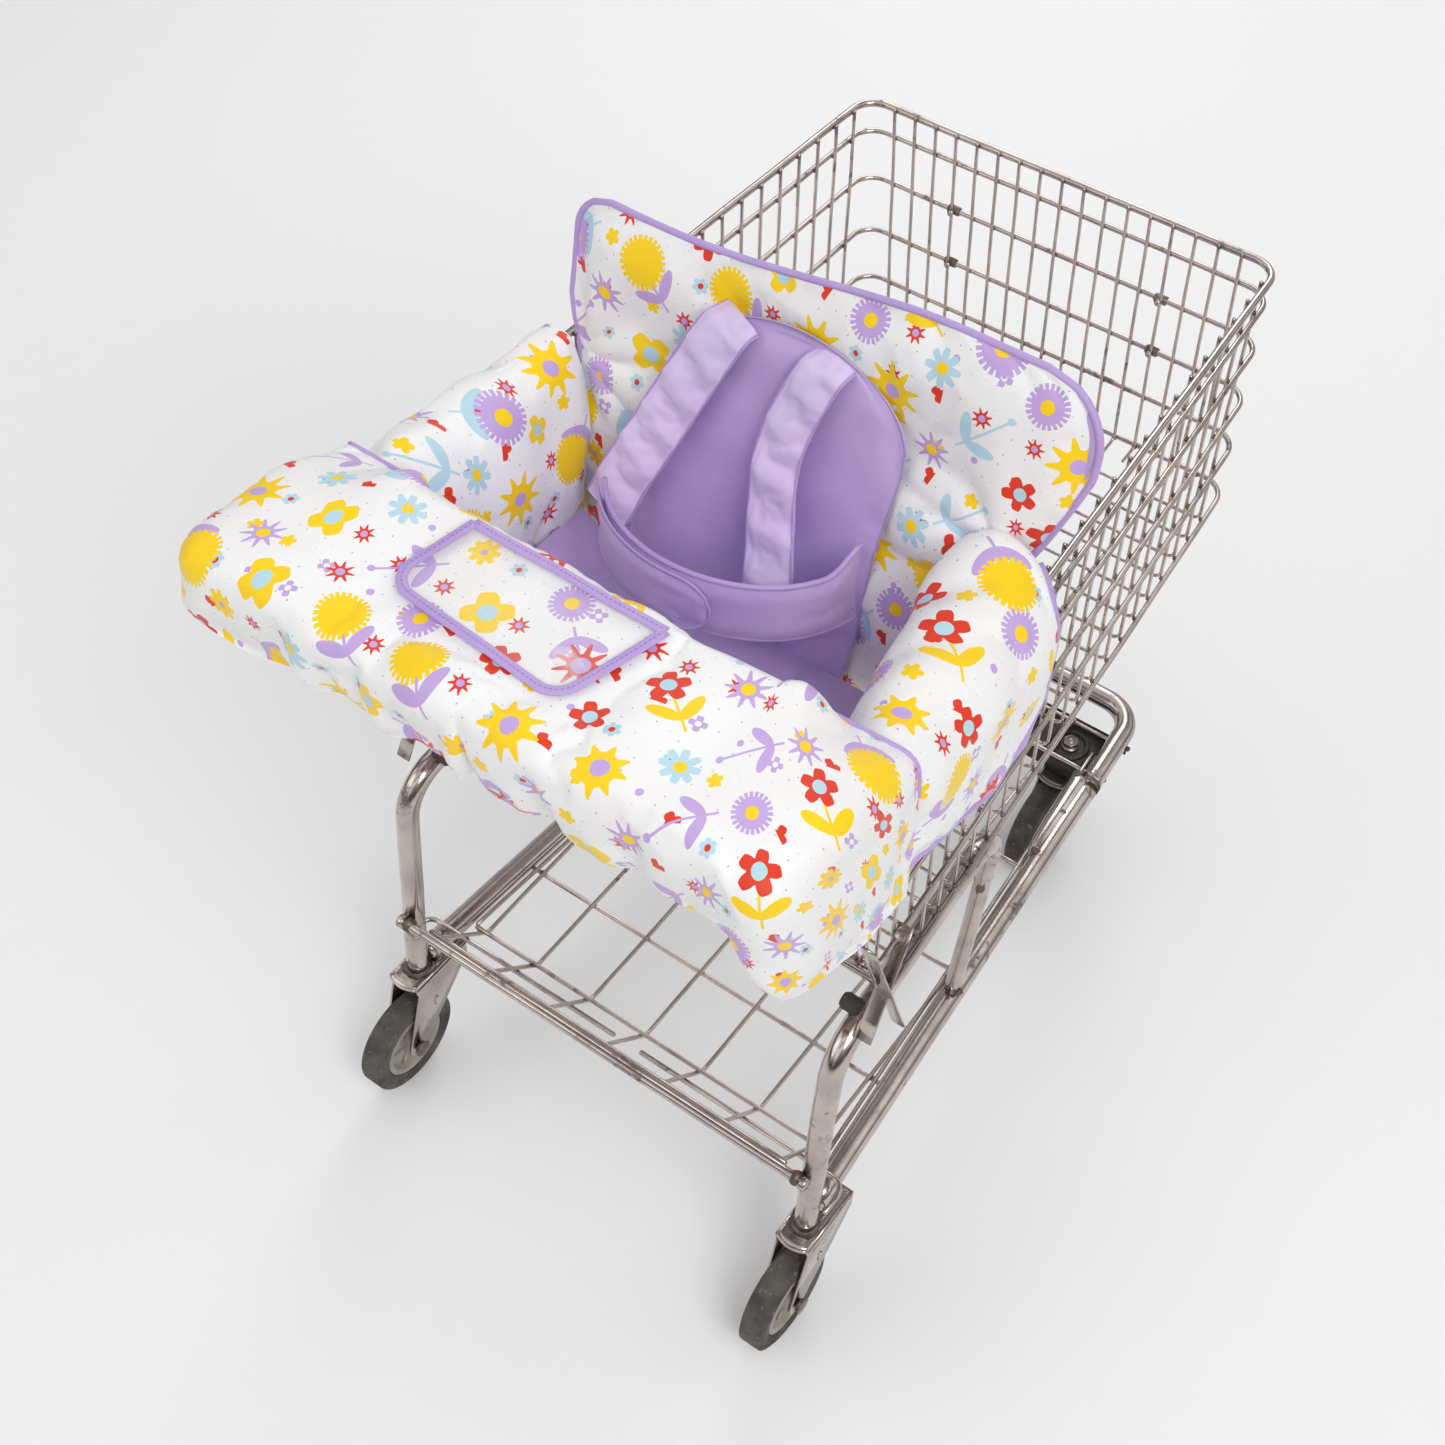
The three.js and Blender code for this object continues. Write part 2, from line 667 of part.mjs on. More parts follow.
function seatBack() {
  const half = 212;
  const height = 365;
  const low = -12; // reaches below the pad, where the arms join
  const outline = [[-half, low], [half, low], [half, height], [-half, height]];
  const holes = [];
  const columns = 12;
  const pitch = (2 * half - WIRE) / columns;
  for (let k = 0; k < columns; k += 1) {
    const left = -half + WIRE + k * pitch;
    const right = left + pitch - WIRE;
    for (const [from, to] of [[-4, 178], [183, height - 5]]) {
      holes.push([[left, from], [right, from], [right, to], [left, to]]);
    }
  }
  const back = stand(sheet(outline, 5, holes), onSeat(0, PAD + 3), acrossY, seatUp);
  const foot = onSeat(low + 4, PAD + 3);
  const reach = foot.clone().sub(seatHinge);
  const length = reach.length();
  const along = reach.normalize();
  const across = along.clone().cross(acrossY);
  const arms = [-185, 185].flatMap((y) => {
    const arm = stand(sheet([[6, -3], [length, -3], [length, 3], [6, 3]], 8), seatHinge, along, across);
    return [arm.translate(0, y, 0), knuckle(y, 4.2, 8, 8).translate(seatHinge.x, 0, seatHinge.z)];
  });
  return joined(back, ...arms);
}
add('seat_back', seatBack(), CHROME);

function seatPan() {
  const plate = box([7, -198, -3], [PAN_REACH, 198, 3]);
  const loops = [-150, 0, 150].map((y) => knuckle(y, 4.2, 8.5, 24));
  return joined(plate, ...loops).translate(panHinge.x, 0, panHinge.z);
}
add('seat_pan', seatPan(), PAN_PLASTIC);

// ---- Padded cover ----
function drape() {
  // The section over the handle, from the padded inner edge to the rear hem and back inside.
  const section = [
    [72, 932],
    [58, 948],
    [-60, 956],
    [-92, 948],
    [DRAPE_REAR_X, 915],
    [-106, 868],
    [-96, 868],
    [-101, 914],
    [-86, 939],
    [-60, 944.5],
    [52, 937],
    [62, 926],
  ];
  const arch = sheet(section, 2 * DRAPE_HALF_WIDTH).rotateX(Math.PI / 2);
  const flap = [
    [-104, 905],
    [-84, 800],
    [-40, 730],
    [20, 690],
    [70, 690],
    [108, 720],
    [108, 930],
    [50, 940],
    [-60, 950],
    [-90, 935],
  ];
  const flaps = SIDES.map(({ sign }) =>
    sheet(flap, 9).rotateX(Math.PI / 2).translate(0, sign * (DRAPE_HALF_WIDTH - 4.5), 0),
  );
  return joined(arch, ...flaps);
}
add('cover_drape', drape(), PRINT);

// A clear pocket on top of the drape.
const pocket = sheet([[-46, -58], [46, -72], [46, 132], [-46, 142]], 2);
pocket.rotateY(Math.atan2(8, 118)).translate(6, 0, 951.6 + 1.6);
add('cover_pocket', pocket, CLEAR_VINYL);

for (const { word, sign } of SIDES) {
  // A saddle over the basket rim: a thick pad inside and a thin flap outside.
  const section = [
    [214, 672],
    [256, 672],
    [256, 877],
    [288, 877],
    [288, 760],
    [296, 760],
    [300, 885],
    [290, 902],
    [235, 905],
    [214, 880],
  ].map(([y, z]) => [sign * y, z]);
  if (sign < 0) section.reverse();
  const saddle = stand(sheet(section, 184), point(208, 0, 0), acrossY, point(0, 0, 1));
  add(`cover_side_${word}`, saddle, PRINT);
}

// The padded back stays inside the basket up to the rim. Above it, the right side flares out further.
function coverBack() {
  const low = 226;
  const rim = { up: 246, half: 246 };
  const right = { y: -292, up: 350, corner: 50, top: 420 };
  const left = { y: 250, corner: 45, top: 408 };
  const shape = new THREE.Shape();
  shape.moveTo(-low, 0);
  shape.lineTo(low, 0);
  shape.lineTo(rim.half, rim.up);
  shape.lineTo(left.y, rim.up + 20);
  shape.absarc(left.y - left.corner, left.top - left.corner, left.corner, 0, degrees(90), false);
  const arm = right.y + right.corner;
  shape.absarc(arm, right.top - right.corner, right.corner, degrees(90), degrees(180), false);
  shape.lineTo(right.y, right.up);
  shape.lineTo(-rim.half - 24, rim.up + 38);
  shape.lineTo(-rim.half, rim.up);
  shape.closePath();
  return stand(sheet(shape, PAD), onSeat(0, PAD / 2), acrossY, seatUp);
}
add('cover_back', coverBack(), PRINT);

const cushion = box([10, -205, 3.6], [184, 205, 27]).translate(panHinge.x, 0, panHinge.z);
add('cover_seat', cushion, LAVENDER);

// Half a ring of webbing, looped forward from the padded back and a little to the left.
const BELT = { x: 308, y: 38, reach: 88, half: 138, thickness: 6, low: 710, height: 50 };
function waistBelt() {
  const { reach, half, thickness } = BELT;
  const shape = new THREE.Shape();
  shape.absellipse(0, 0, reach, half, degrees(90), degrees(270), false);
  shape.absellipse(0, 0, reach - thickness, half - thickness, degrees(270), degrees(90), true);
  shape.closePath();
  return sheet(shape, BELT.height, [], 8).translate(BELT.x, BELT.y, BELT.low + BELT.height / 2);
}
add('waist_belt', waistBelt(), LAVENDER);

// Shoulder straps, from the top of the padded back down to the belt: foot and head, as [y, up].
const STRAP_HALF = 20;
const STRAPS = [
  { word: 'left', foot: [158, 132], head: [54, 352] },
  { word: 'right', foot: [-18, 132], head: [-50, 352] },
];
for (const { word, foot, head } of STRAPS) {
  const strap = [
    [foot[0] - STRAP_HALF, foot[1]],
    [foot[0] + STRAP_HALF, foot[1]],
    [head[0] + STRAP_HALF, head[1]],
    [head[0] - STRAP_HALF, head[1]],
  ];
  add(`shoulder_strap_${word}`, stand(sheet(strap, 4), onSeat(0, -2.6), acrossY, seatUp), PALE_LAVENDER);
}

const model = new THREE.Group();
model.add(cart);
export default model;
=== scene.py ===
"""A small store's shopping cart with a padded fabric cover fitted over its handle and child seat.

Lengths are in millimetres, measured from the middle of the rear axle line on the floor:
+X towards the nose of the basket, +Y to the cart's left, +Z up. place() turns them into the
frame's metres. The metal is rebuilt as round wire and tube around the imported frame, and the
soft cover is quilted cloth, inflated by a short cloth simulation.
"""

import math

import bpy
import numpy as np
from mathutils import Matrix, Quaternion, Vector


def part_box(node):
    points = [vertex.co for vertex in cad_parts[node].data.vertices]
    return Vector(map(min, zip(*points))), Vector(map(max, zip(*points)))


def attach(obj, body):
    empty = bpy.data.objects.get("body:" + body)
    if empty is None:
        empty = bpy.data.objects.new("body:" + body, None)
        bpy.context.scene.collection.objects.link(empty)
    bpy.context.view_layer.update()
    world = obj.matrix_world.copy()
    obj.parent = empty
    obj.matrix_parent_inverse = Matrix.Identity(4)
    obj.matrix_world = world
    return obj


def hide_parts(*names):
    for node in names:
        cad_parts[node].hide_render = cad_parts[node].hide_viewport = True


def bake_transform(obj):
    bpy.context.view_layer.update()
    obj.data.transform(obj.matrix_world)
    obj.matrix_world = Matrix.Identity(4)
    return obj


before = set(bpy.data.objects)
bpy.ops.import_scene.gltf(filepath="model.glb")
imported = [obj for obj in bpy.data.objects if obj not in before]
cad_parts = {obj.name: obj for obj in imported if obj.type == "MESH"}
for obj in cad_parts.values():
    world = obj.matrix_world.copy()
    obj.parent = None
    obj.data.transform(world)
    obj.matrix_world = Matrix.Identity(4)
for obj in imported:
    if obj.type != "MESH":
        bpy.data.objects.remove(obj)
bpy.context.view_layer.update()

# ---- The frame's own sizes ----
MM = 1000.0


def node_box(name):
    """The lowest and highest corner of a CAD node, in this script's millimetres."""
    low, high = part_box(name)
    return np.array(low) * MM - ORIGIN, np.array(high) * MM - ORIGIN


ORIGIN = np.zeros(3)
ORIGIN[0] = sum(corner[0] for corner in node_box("rear_axle_left")) / 2

SIDES = (("left", 1), ("right", -1))
WHEEL_RADIUS = node_box("rear_tyre_left")[1][2] / 2
HUB_RADIUS = np.ptp([corner[2] for corner in node_box("rear_hub_left")]) / 2
TUBE_RADIUS = np.ptp([corner[2] for corner in node_box("frame_tube_left")]) / 2
HANDLE_LOW, HANDLE_HIGH = node_box("handle_bar")
HANDLE_X = (HANDLE_LOW[0] + HANDLE_HIGH[0]) / 2
HANDLE_Z = (HANDLE_LOW[2] + HANDLE_HIGH[2]) / 2

WIRE_RADIUS = 1.9
RIM_RADIUS = 4.0
HOOP_RADIUS = 3.0
RIM = (881.0, 0.025)  # height at the nose, and fall per mm towards the rear
HOOPS = ((846.0, 0.033), (783.0, 0.045), (710.0, 0.06), (641.0, 0.08), (565.0, 0.094))
FLOOR_HOOP = HOOPS[-1]
CLIP_HOOPS = HOOPS[1:3]
FRONT_PITCH = 25.4
FRONT_WIRES = 17
SIDE_PITCH = 31.8
SIDE_REAR_TOP = 10.0
SIDE_REAR_LOW = 128.0
FLOOR_REAR = 138.0
TUBE_Z = 184.0
RACK_Z = 179.0
RACK_PITCH = 76.9
RACK_REAR = 112.0
RACK_FRONT = 790.0
RACK_CROSS = (216.0, 386.0, 556.0, 726.0)
KINGPIN_X = 755.0
GATE_HINGE = np.array([14.0, 0.0, 869.0])
GATE_DOWN = np.array([0.3234, 0.0, -0.9463])
GATE_NORMAL = np.array([0.9463, 0.0, 0.3234])
GATE_LENGTH = 377.0
SEAT_HINGE_DOWN = 297  # how far down the gate the seat is hinged
SEAT_FACE = np.array([305.0, 0.0, 640.0])
SEAT_LEAN = 0.17
SEAT_UP = np.array([SEAT_LEAN, 0.0, 1.0]) / math.hypot(SEAT_LEAN, 1.0)
SEAT_NORMAL = np.array([SEAT_UP[2], 0.0, -SEAT_UP[0]])


def place(points):
    """Millimetres from the rear axle line to the frame's metres."""
    return (np.asarray(points, float) + ORIGIN) / MM


def front_x(z):
    return 834 + (RIM[0] - z) * 0.0822


def side_y(x):
    return 234.6 + (855 - x) * 0.05


def hoop_z(hoop, x):
    return hoop[0] - (front_x(hoop[0]) - x) * hoop[1]


def tube_y(x):
    return 260.5 - (x - 102) * 0.0646


def on_gate(down, y, out=0.0):
    return GATE_HINGE + GATE_DOWN * down + GATE_NORMAL * out + np.array([0.0, y, 0.0])


def on_seat(y, up, behind):
    """A point on the padded back's face, or that far behind it."""
    return SEAT_FACE + SEAT_UP * up + SEAT_NORMAL * behind + np.array([0.0, y, 0.0])


# ---- Mesh building ----
ON_AXIS = 1e-6  # a lathe profile point closer than this to the axis is one shared tip
DENT_LENGTH = 35.0  # how slowly an old tube's line wanders


class Shape:
    """Collects vertices and faces in millimetres, with a material index for each face."""

    def __init__(self):
        self.points = []
        self.faces = []
        self.slots = []
        self.count = 0

    def add(self, points, faces, slot=0):
        points = np.asarray(points, float)
        self.points.append(points)
        self.faces.extend([tuple(i + self.count for i in face) for face in faces])
        self.slots.extend([slot] * len(faces))
        self.count += len(points)

    def build(self, name, materials, uv=None):
        mesh = bpy.data.meshes.new(name)
        mesh.from_pydata(place(np.vstack(self.points)).tolist(), [], self.faces)
        for material in materials:
            mesh.materials.append(material)
        mesh.polygons.foreach_set("material_index", self.slots)
        mesh.polygons.foreach_set("use_smooth", [True] * len(self.faces))
        if uv is not None:
            layer = mesh.uv_layers.new(name="cloth")
            loops = np.zeros(len(mesh.loops), np.int32)
            mesh.loops.foreach_get("vertex_index", loops)
            layer.data.foreach_set("uv", uv[loops].astype(np.float32).ravel())
        mesh.update()
        thing = bpy.data.objects.new(name, mesh)
        bpy.context.scene.collection.objects.link(thing)
        return thing


def unit(vector):
    return vector / max(np.linalg.norm(vector), 1e-9)


def bent(corners, radius, steps=6):
    """A line through the corners, each inner corner rounded by an arc."""
    corners = [np.asarray(corner, float) for corner in corners]
    path = [corners[0]]
    for before, corner, after in zip(corners, corners[1:], corners[2:]):
        back, ahead = unit(before - corner), unit(after - corner)
        half = math.acos(np.clip(back @ ahead, -1, 1)) / 2
        centre = corner + unit(back + ahead) * radius / math.sin(half)
        reach = radius / math.tan(half)
        start, end = corner + back * reach - centre, corner + ahead * reach - centre
        turn = math.pi - 2 * half
        for k in range(steps + 1):
            part = k / steps
            ratios = math.sin((1 - part) * turn), math.sin(part * turn)
            path.append(centre + (start * ratios[0] + end * ratios[1]) / math.sin(turn))
    path.append(corners[-1])
    return path


def split(start, end, length):
    """Points along a straight line, about that far apart."""
    count = max(1, int(np.linalg.norm(np.subtract(end, start)) / length))
    return [np.asarray(start) + (np.subtract(end, start)) * k / count for k in range(count + 1)]


def travel_along(path):
    """Distance along a path from its first point to each of its points."""
    return np.cumsum(np.r_[0, np.linalg.norm(np.diff(path, axis=0), axis=1)])


def at_travel(path, travel, where):
    """The points of a path at given distances along it."""
    return np.column_stack([np.interp(where, travel, path[:, k]) for k in range(3)])


def ring_faces(a, b, count):
    """Quads between two closed rings of points that start at a and at b."""
    return [(a + j, a + (j + 1) % count, b + (j + 1) % count, b + j) for j in range(count)]


def tube(shape, path, radius, sides, slot=0, flat=1.0, closed=False, hint=(0, 0, 1)):
    """Sweeps a round or flattened section along a path. radius is one number, or one for each point."""
    path = np.array(path, float)
    count = len(path)
    radii = np.broadcast_to(np.asarray(radius, float), (count,))
    if closed:
        tangents = np.roll(path, -1, 0) - np.roll(path, 1, 0)
    else:
        tangents = np.gradient(path, axis=0)
    side = np.cross(unit(tangents[0]), hint)
    if np.linalg.norm(side) < 0.1:
        side = np.cross(unit(tangents[0]), (1, 0, 0))
    rings = []
    angles = np.arange(sides) * 2 * math.pi / sides
    for point, tangent, size in zip(path, tangents, radii):
        tangent = unit(tangent)
        side = unit(side - tangent * (side @ tangent))
        up = np.cross(side, tangent)
        ring = np.outer(np.cos(angles) * size, side) + np.outer(np.sin(angles) * size * flat, up)
        rings.append(point + ring)
    faces = []
    for i in range(count if closed else count - 1):
        faces += ring_faces(i * sides, ((i + 1) % count) * sides, sides)
    if not closed:
        faces.append(tuple(range(sides))[::-1])
        faces.append(tuple((count - 1) * sides + j for j in range(sides)))
    shape.add(np.vstack(rings), faces, slot)


def wire(shape, path, radius, sides=8):
    """A tube with slightly rounded ends."""
    path = [np.asarray(point, float) for point in path]
    first, last = unit(path[1] - path[0]), unit(path[-1] - path[-2])
    dome = radius * 0.5
    path = [path[0], path[0] + first * dome] + path[1:-1] + [path[-1] - last * dome, path[-1]]
    radii = [radius * 0.6] + [radius] * (len(path) - 2) + [radius * 0.6]
    tube(shape, path, radii, sides)


def ripple(path, amount, seed):
    """Dents in an old tube: a slow wobble of its line."""
    path = np.array(path, float)
    travel = travel_along(path)
    for axis in range(3):
        wave = np.sin(travel / DENT_LENGTH + seed + 2.1 * axis) * np.sin(travel / (DENT_LENGTH * 2.7) + seed)
        path[:, axis] += amount * wave
    return path


def dense(path, length):
    """The same line with a point about every length millimetres."""
    result = [np.asarray(path[0], float)]
    for a, b in zip(path, path[1:]):
        result.extend(split(a, b, length)[1:])
    return result


def bar(shape, start, end, radius, sides=10, step=30, dents=0.0, seed=0):
    """A straight wire with slight dents."""
    wire(shape, ripple(split(start, end, step), dents, seed), radius, sides)


def blob(shape, centre, size, slot=0, along=(0, 0, 1), rings=5, sides=8, seed=None):
    """A smooth lump, such as a weld bead, with half-sizes across, across and along its axis."""
    axis = unit(np.asarray(along, float))
    side = unit(np.cross(axis, (1, 0, 0) if abs(axis[0]) < 0.9 else (0, 1, 0)))
    other = np.cross(axis, side)
    points = [np.asarray(centre) - axis * size[2]]
    for i in range(1, rings):
        lift = math.pi * i / rings
        for j in range(sides):
            turn = 2 * math.pi * j / sides
            bump = 1.0 if seed is None else 1 + 0.12 * math.sin(5 * turn + seed + 3 * lift)
            ring = side * size[0] * math.cos(turn) + other * size[1] * math.sin(turn)
            points.append(centre + ring * math.sin(lift) * bump - axis * size[2] * math.cos(lift))
    points.append(np.asarray(centre) + axis * size[2])
    last = len(points) - 1
    faces = [(0, 1 + (j + 1) % sides, 1 + j) for j in range(sides)]
    for i in range(rings - 2):
        faces += ring_faces(1 + i * sides, 1 + (i + 1) * sides, sides)
    a = last - sides
    faces += [(a + j, a + (j + 1) % sides, last) for j in range(sides)]
    shape.add(points, faces, slot)


def lathe(shape, profile, centre, axis=(0, 1, 0), sides=48, slot=0):
    """Turns (radius, along) pairs about an axis through centre, as a closed or an end-capped profile."""
    axis = unit(np.asarray(axis, float))
    side = unit(np.cross(axis, (0, 0, 1) if abs(axis[2]) < 0.9 else (1, 0, 0)))
    other = np.cross(axis, side)
    closed = profile[0] == profile[-1]
    rows = profile[:-1] if closed else profile
    points, starts = [], []
    for radius, along in rows:
        starts.append(len(points))
        for j in range(1 if radius < ON_AXIS else sides):
            turn = 2 * math.pi * j / sides
            arm = side * math.cos(turn) + other * math.sin(turn)
            points.append(np.asarray(centre) + axis * along + arm * radius)
    faces = []
    pairs = list(zip(range(len(rows)), range(1, len(rows))))
    if closed:
        pairs.append((len(rows) - 1, 0))
    for one, two in pairs:
        a, b = starts[one], starts[two]
        tip_a, tip_b = rows[one][0] < ON_AXIS, rows[two][0] < ON_AXIS
        if tip_a and not tip_b:
            faces += [(a, b + (j + 1) % sides, b + j) for j in range(sides)]
        elif tip_b and not tip_a:
            faces += [(a + j, a + (j + 1) % sides, b) for j in range(sides)]
        elif not tip_a:
            faces += ring_faces(a, b, sides)
    shape.add(points, faces, slot)


def plate(shape, outline, thickness, origin, along, up, bevel=0.6):
    """A flat sheet from an outline in (along, up), with softened edges, centred on origin."""
    along, up = unit(np.asarray(along, float)), unit(np.asarray(up, float))
    normal = np.cross(along, up)
    outline = np.array(outline, float)
    before, after = np.roll(outline, 1, 0), np.roll(outline, -1, 0)
    edge = after - before
    inward = np.stack([-edge[:, 1], edge[:, 0]], 1)
    inward /= np.maximum(np.linalg.norm(inward, axis=1, keepdims=True), 1e-9)
    area = np.sum(outline[:, 0] * after[:, 1] - after[:, 0] * outline[:, 1])
    inward *= 1 if area > 0 else -1
    heights = (-thickness / 2, -thickness / 2 + bevel, thickness / 2 - bevel, thickness / 2)
    points = []
    for inset, height in zip((bevel, 0, 0, bevel), heights):
        flat = outline + inward * inset
        points.append(origin + np.outer(flat[:, 0], along) + np.outer(flat[:, 1], up) + normal * height)
    count = len(outline)
    faces = []
    for layer in range(3):
        faces += ring_faces(layer * count, (layer + 1) * count, count)
    faces.append(tuple(range(count))[::-1])
    faces.append(tuple(3 * count + j for j in range(count)))
    shape.add(np.vstack(points), faces)


def arc(centre, radius, start, end, steps):
    """Points of an arc in a plane, with angles in degrees."""
    angles = np.radians(np.linspace(start, end, steps + 1))
    return [(centre[0] + radius * math.cos(a), centre[1] + radius * math.sin(a)) for a in angles]


# ---- Materials ----
def operator(operation, swapped=False):
    """A Value method for one arithmetic operator, with the operands swapped for the reversed ones."""

    def apply(self, other):
        pair = (other, self) if swapped else (self, other)
        return self.paint.math(operation, *pair)

    return apply


class Value:
    """A number or colour socket that can be used in plain arithmetic."""

    def __init__(self, paint, socket):
        self.paint = paint
        self.socket = socket

    __add__ = __radd__ = operator("ADD")
    __mul__ = __rmul__ = operator("MULTIPLY")
    __sub__ = operator("SUBTRACT")
    __rsub__ = operator("SUBTRACT", swapped=True)
    __lt__ = operator("LESS_THAN")
    __gt__ = operator("GREATER_THAN")


class Paint:
    """One procedural material, or the world, built from shader nodes."""

    def __init__(self, name, owner=None):
        self.name = name
        self.material = owner or bpy.data.materials.new(name)
        self.material.use_nodes = True
        self.nodes = self.material.node_tree.nodes
        self.links = self.material.node_tree.links
        self.shader = self.nodes.get("Principled BSDF")

    def look(self):
        """The material as a look: the slot's name, then the materials that a piece carries."""
        return self.name, self.material

    def node(self, kind, **settings):
        made = self.nodes.new("ShaderNode" + kind)
        for key, value in settings.items():
            setattr(made, key, value)
        return made

    def connect(self, value, socket):
        if isinstance(value, Value):
            self.links.new(value.socket, socket)
        elif value is not None:
            socket.default_value = value

    def set(self, **inputs):
        """Sets the shader's inputs by name, with _ for a space."""
        for key, value in inputs.items():
            self.connect(value, self.shader.inputs[key.replace("_", " ")])

    def made(self, kind, values, output=0, **settings):
        """A new node with its first inputs connected in order, as the value of one output."""
        node = self.node(kind, **settings)
        for socket, value in zip(node.inputs, values):
            self.connect(value, socket)
        return Value(self, node.outputs[output])

    def math(self, operation, a, b=None, clamp=False):
        return self.made("Math", (a, b), operation=operation, use_clamp=clamp)

    def place(self):
        """Position in metres, as a vector."""
        return self.made("TexCoord", (), "Object")

    def split(self, vector):
        node = self.node("SeparateXYZ")
        self.connect(vector, node.inputs[0])
        return [Value(self, socket) for socket in node.outputs]

    def join(self, x, y, z):
        return self.made("CombineXYZ", (x, y, z))

    def scaled(self, vector, x, y, z):
        return self.made("VectorMath", (vector, (x, y, z)), operation="MULTIPLY")

    def noise(self, vector, scale, detail, rough=0.55):
        node = self.node("TexNoise")
        for key, value in (("Vector", vector), ("Scale", scale), ("Detail", detail), ("Roughness", rough)):
            self.connect(value, node.inputs[key])
        return Value(self, node.outputs[0])

    def cells(self, vector, scale):
        node = self.node("TexVoronoi")
        self.connect(vector, node.inputs["Vector"])
        self.connect(scale, node.inputs["Scale"])
        return Value(self, node.outputs[0])

    def span(self, value, low, high, to_low=0.0, to_high=1.0):
        """Maps low..high to to_low..to_high, smoothly and clamped."""
        return self.made("MapRange", (value, low, high, to_low, to_high), interpolation_type="SMOOTHSTEP")

    def mix(self, share, a, b):
        node = self.node("Mix", data_type="RGBA")
        for index, value in ((0, share), (6, a), (7, b)):
            self.connect(value, node.inputs[index])
        return Value(self, node.outputs[2])

    def choose(self, share, entries):
        """A step ramp: equal shares of 0..1, each with its own colour or three numbers."""
        node = self.node("ValToRGB")
        ramp = node.color_ramp
        ramp.interpolation = "CONSTANT"
        while len(ramp.elements) < len(entries):
            ramp.elements.new(0.5)
        for index in range(len(entries)):
            ramp.elements[index].position = index / len(entries)
        for index, entry in enumerate(entries):
            ramp.elements[index].color = (*entry[:3], 1.0)
        self.connect(share, node.inputs[0])
        return Value(self, node.outputs[0])

    def bump(self, height, strength, distance):
        node = self.node("Bump")
        for key, value in (("Strength", strength), ("Distance", distance), ("Height", height)):
            self.connect(value, node.inputs[key])
        self.set(Normal=Value(self, node.outputs[0]))


def colour(code):
    """A linear colour from a web colour code."""
    parts = [int(code[i : i + 2], 16) / 255 for i in (1, 3, 5)]
    return tuple(p / 12.92 if p <= 0.04045 else ((p + 0.055) / 1.055) ** 2.4 for p in parts) + (1.0,)


def darker(tone, share):
    return tuple(part * share for part in tone[:3]) + (1.0,)


def worn_metal(name, clean, dirt, shine, roughness, dirt_share):
    """Old plated steel: cloudy plating, brown grime in patches, pits and fine scratches."""
    paint = Paint(name)
    clean, dirt = colour(clean), colour(dirt)
    at = paint.place()
    cloud = paint.noise(at, 18, 5)
    fine = paint.noise(at, 260, 4)
    patches = paint.noise(at, 70, 6, 0.65) + paint.noise(at, 9, 2) * 0.5
    grime = paint.span(patches, 0.98 - dirt_share * 0.32, 1.0)
    pits = paint.span(paint.cells(at, 420), 0.0, 0.22, 1.0, 0.0)
    pits = pits * paint.span(paint.noise(at, 40, 3), 0.5, 0.62)
    scratch = paint.noise(paint.scaled(at, 40, 900, 900), 1.0, 2)
    base = paint.mix(paint.span(cloud, 0.35, 0.7), clean, darker(clean, 0.72))
    base = paint.mix(grime * 0.85, base, dirt)
    base = paint.mix(pits, base, darker(dirt, 0.5))
    rough = paint.span(cloud, 0.3, 0.75, roughness * 0.75, roughness * 1.3) + grime * 0.3 + pits * 0.3
    paint.set(Base_Color=base, Metallic=paint.span(grime, 0.0, 1.0, shine, shine * 0.55), Roughness=rough)
    paint.bump(fine * 0.5 + scratch * 0.6 - pits * 2.0, 0.35, 0.0002)
    return paint.look()


def moulded(name, tone, shade, roughness, grain, strength, speckle=0.0):
    """Moulded plastic or rubber: fine grain, cloudy tone, and, given speckle, specks of dust scattered over
    it.
    """
    paint = Paint(name)
    at = paint.place()
    cloud = paint.span(paint.noise(at, 25, 5, 0.6), 0.35, 0.7)
    fine = paint.noise(at, grain, 4)
    base = paint.mix(cloud, colour(tone), colour(shade))
    if speckle:
        spots = paint.span(paint.noise(at, 150, 3), 0.6, 0.7) * speckle
        base = paint.mix(spots, base, colour("#8C857B"))
    paint.set(Base_Color=base, Roughness=paint.span(cloud, 0, 1, roughness, roughness * 0.8))
    paint.bump(fine, strength, 0.0004)
    return paint.look()


CHROME = worn_metal("chrome", "#C9BDB6", "#52423A", 1.0, 0.17, 0.5)
SCALED_CHROME = worn_metal("weld_scale", "#8C7E76", "#3C302A", 0.9, 0.4, 1.2)
ZINC = worn_metal("zinc_steel", "#958B85", "#4B4037", 0.9, 0.42, 0.9)
BLACK_STEEL = worn_metal("black_steel", "#3A3531", "#241F1B", 0.5, 0.5, 0.9)
RUBBER = moulded("wheel_rubber", "#3B3733", "#57524C", 0.8, 420.0, 0.5, 0.5)
HUB_PLASTIC = moulded("hub_plastic", "#A59F95", "#8B857B", 0.55, 260.0, 0.25, 0.4)
HANDLE_PLASTIC = moulded("handle_plastic", "#B3261F", "#9C1F1A", 0.38, 500.0, 0.15)
PAN_PLASTIC = moulded("pan_plastic", "#6E6F72", "#606165", 0.5, 380.0, 0.3)
METAL = CHROME + SCALED_CHROME[1:]
SCALED = 1  # the second of METAL's materials, for welds


def settle(thing, slot, body, replaced=(), bend=None):
    """Ties an object to its body, or, given a bend, only bakes its transform in place; then hides the CAD
    parts that it replaces. slot is not used.
    """
    if bend:
        one, two, start, end = bend
        tuple(place(start))
        tuple(place(end))
        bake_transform(thing)
    else:
        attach(thing, body)
    if replaced:
        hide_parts(*replaced)


def piece(shape, name, look, *replaced, body="root"):
    """Finishes a shape as one object on a body. A look is the slot's name and then the materials."""
    settle(shape.build(name, look[1:]), look[0], body, replaced)


